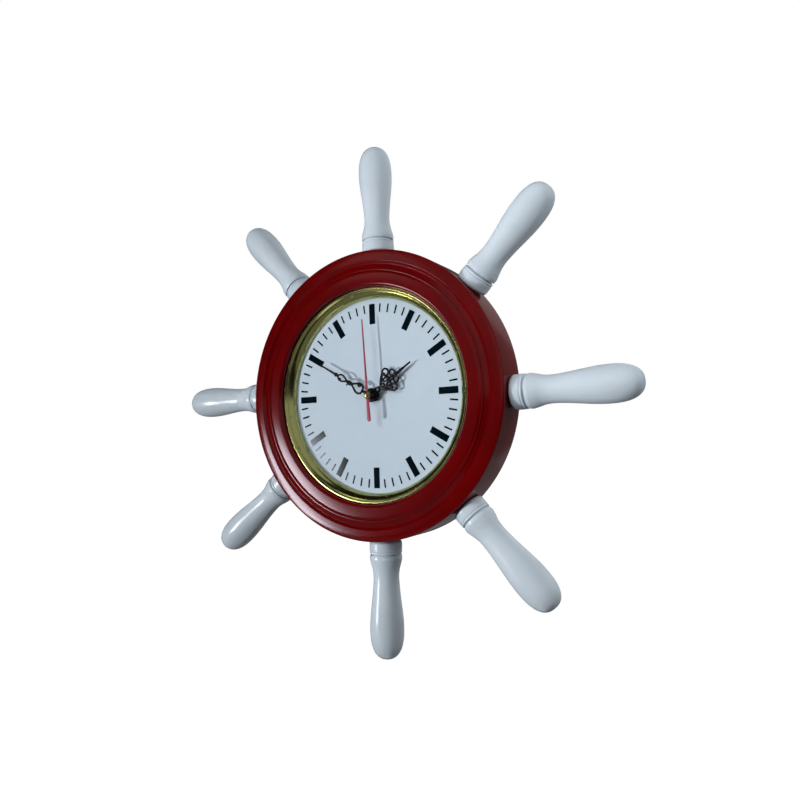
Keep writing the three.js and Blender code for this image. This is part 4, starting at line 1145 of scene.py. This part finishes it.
class CLOCK_OT_dial(bpy.types.Operator):
    """Finish the dial and print its sixty marks"""

    bl_idname = "clock.dial"
    bl_label = "Dial and marks"

    def execute(self, context):
        s = context.scene.clock_dial
        tints = context.scene.clock_finishes
        dress_node("dial_plate", satin_dial(tints))
        off_centre = Matrix.Translation((s.print_shift, 0, 0))
        film = 0.00004
        gap = 0.00001
        shaper = bmesh.new()
        for minute in range(60):
            on_hour = minute % 5 == 0
            inner = s.hour_mark_inner if on_hour else s.minute_mark_inner
            width = s.hour_mark_width if on_hour else s.minute_mark_width
            size = Matrix.Diagonal((width, film, s.mark_outer - inner, 1))
            place = Matrix.Translation((0, -s.face - gap - film / 2, (s.mark_outer + inner) / 2))
            turn = clock_turn(math.radians(6 * minute))
            bmesh.ops.create_cube(shaper, size=1, matrix=off_centre @ turn @ place @ size)
        mesh = bpy.data.meshes.new("dial_marks")
        shaper.to_mesh(mesh)
        shaper.free()
        install(dress_mesh("dial_marks", mesh), "case", "hand_black", gloss_ink(tints))
        return {"FINISHED"}


class CLOCK_OT_hands(bpy.types.Operator):
    """Cut the three hands from sheet"""

    bl_idname = "clock.hands"
    bl_label = "Hands"

    def execute(self, context):
        s = context.scene.clock_hands
        tints = context.scene.clock_finishes
        black = sheet_enamel("hand_enamel_black", tints.hand_black, (0.009, 0.01, 0.012), 0.1)
        red = sheet_enamel("hand_enamel_red", tints.hand_red, (0.2, 0.01, 0.02), 0.4)
        shape = hour_sketch(s.hour_tip)
        hour = blanked("scroll_hour_hand", shape, s.sheet, s.hour_ahead, s.hour_direction)
        install(hour, "hour", "hand_black", black, "hour_hand")
        shape = minute_sketch(s.minute_tip)
        minute = blanked("scroll_minute_hand", shape, s.sheet, s.minute_ahead, s.minute_direction)
        install(minute, "minute", "hand_black", black, "minute_hand")
        shape = second_sketch(s.second_tip, s.second_tail)
        second = blanked("sweep_second_hand", shape, s.second_sheet, s.second_ahead, s.second_direction)
        install(second, "second", "hand_red", red, "second_hand")
        return {"FINISHED"}


class CLOCK_OT_centre(bpy.types.Operator):
    """Build the brass fittings at the dial's centre"""

    bl_idname = "clock.centre"
    bl_label = "Centre fittings"

    def execute(self, context):
        brass = turned_brass(context.scene.clock_finishes)
        black = blacked_metal(context.scene.clock_finishes)
        cap = revolve("domed_cap", self.cap(context.scene), 64, closed=False)
        install(cap, "second", "brass_fittings", brass, "second_cap")
        nut = revolve("round_hand_nut", flat_ring("hand_nut", 0.00175, 0.0002, 0.0001), 64)
        install(nut, "minute", "brass_fittings", brass, "hand_nut")
        collet = revolve("pressed_collet", flat_ring("hour_collet", 0.00255, 0.0001, 0.0002), 64)
        install(collet, "hour", "brass_fittings", brass, "hour_collet")
        washer = revolve("flat_washer", flat_ring("dial_washer", 0.0038, 0.0002, 0.0001), 64)
        install(washer, "case", "black_fittings", black, "dial_washer")
        dress_node("fixing_nut", black, 0.0002)
        return {"FINISHED"}

    def cap(self, scene):
        """The domed cap in front of the second hand and the pipe behind it, in one outline."""
        hands = scene.clock_hands
        back = -scene.clock_dial.face - hands.second_ahead + hands.second_sheet / 2
        base = back - hands.second_sheet - 0.0002
        radius = 0.003
        edge = 0.0001
        shank = 0.0007
        pipe, bore = 0.0011, 0.00055
        pipe_start, pipe_end = back + 0.0002, back + 0.0013
        return [
            (0.0, base - 0.002),
            *arc_points((0, base - 0.0006), (radius, 0.0014), -84, 0, 12),
            (radius, base - edge),
            (radius - edge, base),
            (shank, base),
            (shank, pipe_start),
            (pipe, pipe_start),
            (pipe, pipe_end),
            (bore, pipe_end),
            (bore, pipe_start),
            (0.0, pipe_start),
        ]


class CLOCK_OT_board(bpy.types.Operator):
    """Build the fibre board behind the dial and its four screws"""

    bl_idname = "clock.board"
    bl_label = "Backing board"

    def execute(self, context):
        board = revolve("fibre_board", flat_ring("backing_board", 0.0042, 0.0003, 0.0003), 256)
        install(board, "case", "hardboard", pressed_board(context.scene.clock_finishes), "backing_board")
        brass = turned_brass(context.scene.clock_finishes)
        for i in range(1, 5):
            node = f"board_screw_{i}"
            low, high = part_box(node)
            screw = revolve(f"pan_head_{i}", self.pan_head(low, high), 48, closed=False)
            self.cut_cross(screw, high.y, 0.4 * i)
            stand_at(screw, node)
            install(screw, "case", "brass_fittings", brass, node)
        return {"FINISHED"}

    def pan_head(self, low, high):
        """A pointed shank under a rounded head."""
        half = (high.x - low.x) / 2
        shank = 0.0013
        under = high.y - 0.0017
        return [
            (0.0, low.y),
            (shank, low.y + 0.002),
            (shank, under),
            (half - 0.0001, under),
            (half, under + 0.0001),
            *arc_points((0, under + 0.0004), (half, 0.0013), 2, 88, 10),
            (0.0, high.y),
        ]

    def cut_cross(self, screw, top, turn):
        """Cuts the two slots of a cross head, turned as the screw was left."""
        narrow, wide, depth = 0.0005, 0.003, 0.0011
        for across, along in ((narrow, wide), (wide, narrow)):
            low = (-across / 2, top - depth, -along / 2)
            cutter = box_object("driver_slot", low, (across / 2, top + 0.001, along / 2))
            cutter.data.transform(clock_turn(turn))
            cut_away(screw, cutter)


class CLOCK_OT_movement(bpy.types.Operator):
    """Finish the quartz movement: housing, train, motor and circuit"""

    bl_idname = "clock.movement"
    bl_label = "Movement"

    def execute(self, context):
        case = moulded_plastic("case_black", (0.012, 0.012, 0.0135), (0.045, 0.044, 0.043), 0.42, 0.00003)
        gears = moulded_plastic("gear_white", (0.74, 0.72, 0.66), (0.62, 0.59, 0.5), 0.35, 0.00001)
        amber = moulded_plastic("bobbin_amber", (0.5, 0.3, 0.08), (0.4, 0.22, 0.05), 0.35, 0.00001)
        steel = sheet_metal("motor_steel", (0.42, 0.43, 0.45), (0.2, 0.2, 0.2), 0.28)
        nickel = sheet_metal("contact_nickel", (0.62, 0.6, 0.55), (0.4, 0.36, 0.3), 0.2)
        for node, finish, bevel in (
            ("movement_case", case, 0.0004),
            ("movement_cover", case, 0.0004),
            ("hour_wheel", gears, 0),
            ("centre_wheel", gears, 0),
            ("second_wheel", gears, 0),
            ("third_wheel", gears, 0),
            ("intermediate_wheel", gears, 0),
            ("minute_wheel", gears, 0),
            ("set_knob", gears, 0.0001),
            ("rotor", steel, 0),
            ("stator", steel, 0),
            ("coil_core", nickel, 0),
            ("coil_bobbin", amber, 0),
            ("coil_winding", wound_copper(), 0),
            ("circuit_board", circuit_finish(), 0),
            ("quartz_crystal", nickel, 0),
            ("contact_positive", nickel, 0),
            ("contact_negative", nickel, 0),
            ("rubber_gasket", rubber_finish(), 0),
        ):
            dress_node(node, finish, bevel)
        return {"FINISHED"}


class CLOCK_OT_battery(bpy.types.Operator):
    """Build the cell in its printed sleeve"""

    bl_idname = "clock.battery"
    bl_label = "Battery"
    button_height = 0.0013

    def execute(self, context):
        low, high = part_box("battery")
        middle = (low + high) / 2
        sleeve = self.sleeve((high.z - low.z) / 2, low.x, high.x)
        cell = revolve("sleeved_cell", sleeve, 96, closed=False)
        finish = printed_sleeve(low.x, high.x - self.button_height)
        lying = Matrix.Rotation(-math.pi / 2, 4, "Z")
        cell.data.transform(Matrix.Translation((0, middle.y, middle.z)) @ lying)
        install(cell, "cell", "battery_sleeve", finish, "battery")
        return {"FINISHED"}

    def sleeve(self, radius, start, end):
        """The can, its sleeve with rolled ends and the button at the positive end."""
        shoulder = end - self.button_height
        button = 0.00275
        roll = 0.0012
        step = 0.0002
        return rounded(
            [
                (0.0, start + 0.0003),
                (radius - roll, start + 0.0003),
                (radius - 0.001, start, step),
                (radius, start, 0.0004),
                (radius, shoulder, 0.0006),
                (radius - roll, shoulder, step),
                (radius - roll - step, shoulder - step),
                (button + 0.00005, shoulder - step),
                (button, end, 0.0004),
                (0.0, end),
            ]
        )


class CLOCK_OT_hanger(bpy.types.Operator):
    """Finish the sawtooth hanger and build its nails"""

    bl_idname = "clock.hanger"
    bl_label = "Hanger"

    def execute(self, context):
        zinc = sheet_metal("zinc_plate", (0.5, 0.5, 0.48), (0.3, 0.27, 0.2), 0.32)
        dress_node("hanger_plate", zinc, 0.0001)
        for i in (1, 2):
            node = f"hanger_nail_{i}"
            nail = revolve(f"round_nail_{i}", self.nail(*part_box(node)), 40, closed=False)
            stand_at(nail, node)
            install(nail, "case", "zinc_steel", zinc, node)
        return {"FINISHED"}

    def nail(self, low, high):
        """A pointed shank under a flat, round head."""
        half = (high.x - low.x) / 2
        shank = 0.0008
        under = high.y - 0.0006
        return [
            (0.0, low.y),
            (shank, low.y + 0.0015),
            (shank, under),
            (half, under),
            *arc_points((0, under + 0.0002), (half, 0.0004), 5, 86, 8),
            (0.0, high.y),
        ]


class CLOCK_OT_stage(bpy.types.Operator):
    """Set up the pale floor, the lights, the cards that gloss mirrors and the camera"""

    bl_idname = "clock.stage"
    bl_label = "Stage"

    def execute(self, context):
        s = context.scene.clock_studio
        self.floor(s)
        room = Room("room")
        room.set("Strength", s.room_level + room.seen() * (1 - s.room_level))
        room.set("Color", (1, 1, 1))
        context.scene.world = room.world
        dial = Vector()
        # The lamps in front aim past the handles at the right, so their light grows from left to right
        beside = Vector((0.34, 0, 0.11))
        self.lamp("window", (-40, -10), 1.5, 0.09, s.window_power, beside, 58)
        self.lamp("front_light", (-15, 20), 1.6, 0.8, s.front_power, beside, 58)
        self.lamp("right_light", (45, 45), 0.8, 0.3, s.right_power, beside, 180)
        self.lamp("side_light", (95, 16), 0.9, 0.4, s.side_power, dial, 180)
        self.lamp("back_light", (160, 35), 1.6, 1.0, s.back_power, dial, 120)
        for name, azimuths, strength in (
            ("front_flag", (-70, 70), s.front_level),
            ("left_flag", (-165, -70), s.left_level),
            ("right_flag", (70, 165), s.right_level),
            ("back_flag", (165, 195), s.back_level),
        ):
            self.flag(name, azimuths, (-25, 85), 2.2, strength)
        self.flag("table_flag", (-180, 180), (-75, -22), 0.95, s.table_level)
        self.flag("bright_card", (-9, 120), (2, 70), 2.0, s.card_level)
        self.flag("lamp_glow", (-35, -26), (15.5, 26), 2.0, s.glow_level, (1, 0.5, 0.42))
        self.window_pane(s)
        camera = bpy.data.cameras.new("camera")
        camera.sensor_width = 36
        camera.lens = s.lens
        camera.clip_start = 0.01
        holder = bpy.data.objects.new("camera", camera)
        holder.location = s.camera_place
        holder.rotation_euler = s.camera_turn
        context.scene.collection.objects.link(holder)
        context.scene.camera = holder
        context.scene.view_settings.view_transform = "Standard"
        return {"FINISHED"}

    def floor(self, s):
        """A white floor that runs out of sight and still takes the object's shadow."""
        far = 60
        rim = [(-far, -far, 0), (far, -far, 0), (far, far, 0), (-far, far, 0)]
        floor = mesh_object("floor", rim, [(0, 1, 2, 3)])
        floor.location.z = -s.floor_drop
        finish = Finish("pale_floor", roughness=0.9, emission_strength=0.96)
        finish.set("Base Color", finish.mix(finish.noise(3, 3), (0.4, 0.4, 0.4), (0.44, 0.44, 0.44)))
        finish.set("Emission Color", finish.mix(finish.seen(), (0, 0, 0), (1, 1, 1)))
        floor.data.materials.append(finish.material)

    def around(self, azimuth, elevation, distance):
        """A place about the dial: azimuth 0 is straight in front, and 90 to the right."""
        a, e = math.radians(azimuth), math.radians(elevation)
        return Vector((math.cos(e) * math.sin(a), -math.cos(e) * math.cos(a), math.sin(e))) * distance

    def lamp(self, name, direction, distance, size, watts, aim, spread):
        """A square lamp, brightest where it is aimed. Gloss mirrors the cards and not the lamps."""
        light = bpy.data.lights.new(name, "AREA")
        light.shape = "SQUARE"
        light.size = size
        light.energy = watts
        light.spread = math.radians(spread)
        lamp = bpy.data.objects.new(name, light)
        lamp.location = self.around(*direction, distance)
        lamp.rotation_euler = (aim - lamp.location).to_track_quat("-Z", "Y").to_euler()
        lamp.visible_glossy = False
        bpy.context.scene.collection.objects.link(lamp)

    def card(self, name, azimuths, elevations, distance, finish):
        """A curved card that only reflections see, as flags stand about a shiny object in a studio."""
        columns, rows = 48, 16
        points = [
            self.around(azimuth, elevation, distance)
            for elevation in np.linspace(*elevations, rows + 1)
            for azimuth in np.linspace(*azimuths, columns + 1)
        ]
        faces = []
        for row in range(rows):
            for column in range(columns):
                corner = row * (columns + 1) + column
                above = corner + columns + 1
                faces.append((corner, corner + 1, above + 1, above))
        card = mesh_object(name, points, faces)
        card.data.materials.append(finish.material)
        card.visible_camera = False
        card.visible_diffuse = False
        card.visible_transmission = False
        card.visible_shadow = False

    def glowing(self, name, strength):
        """A finish that gives off light and reflects none."""
        black = (0, 0, 0, 1)
        return Finish(f"{name}_light", specular_ior_level=0, base_color=black, emission_strength=strength)

    def flag(self, name, azimuths, elevations, distance, strength, tint=(0.95, 0.97, 1)):
        """An evenly lit card."""
        finish = self.glowing(name, strength)
        finish.set("Emission Color", finish.mix(finish.noise(1.5) * 0.5, tint, (1, 1, 1)))
        self.card(name, azimuths, elevations, distance, finish)

    def window_pane(self, s):
        """The window as reflections see it, fading towards its right and its top."""
        finish = self.glowing("window_pane", s.pane_level)
        x, y, z = (
            finish.node("ShaderNodeSeparateXYZ", None, {"Vector": finish.place()}, side) for side in range(3)
        )
        left = (x / y).between(0.655, 0.86) ** 1.3
        low = (0 - z).between(-0.03, 0.085)
        finish.set("Emission Color", finish.mix(left * low, (0, 0, 0), (1, 0.97, 1)))
        self.card("window_pane", (-47, -33), (-16, 2), 1.45, finish)


class CLOCK_PT_panel(bpy.types.Panel):
    """The clock's building steps, in the sidebar"""

    bl_idname = "CLOCK_PT_panel"
    bl_label = "Ship's-wheel clock"
    bl_space_type = "VIEW_3D"
    bl_region_type = "UI"
    bl_category = "Clock"

    def draw(self, context):
        for step in STEPS:
            self.layout.operator(step.bl_idname)


SETTINGS = {
    "clock_ring": RingSizes,
    "clock_handles": HandleSizes,
    "clock_dial": DialSizes,
    "clock_hands": HandSizes,
    "clock_finishes": Finishes,
    "clock_studio": StudioSettings,
}
STEPS = (
    CLOCK_OT_stage,
    CLOCK_OT_ring,
    CLOCK_OT_handles,
    CLOCK_OT_bezel,
    CLOCK_OT_dial,
    CLOCK_OT_hands,
    CLOCK_OT_centre,
    CLOCK_OT_board,
    CLOCK_OT_movement,
    CLOCK_OT_battery,
    CLOCK_OT_hanger,
)


def register():
    for group in (*SETTINGS.values(), *STEPS, CLOCK_PT_panel):
        bpy.utils.register_class(group)
    for name, group in SETTINGS.items():
        setattr(bpy.types.Scene, name, PointerProperty(type=group))


def unregister():
    for name in SETTINGS:
        delattr(bpy.types.Scene, name)
    for group in reversed((*SETTINGS.values(), *STEPS, CLOCK_PT_panel)):
        bpy.utils.unregister_class(group)


def corners(bounds):
    return [list(corner) for corner in bounds]


def main():
    register()
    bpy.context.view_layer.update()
    for step in STEPS:
        family, name = step.bl_idname.split(".")
        getattr(getattr(bpy.ops, family), name)()
    bpy.context.view_layer.update()


if __name__ == "__main__":
    main()
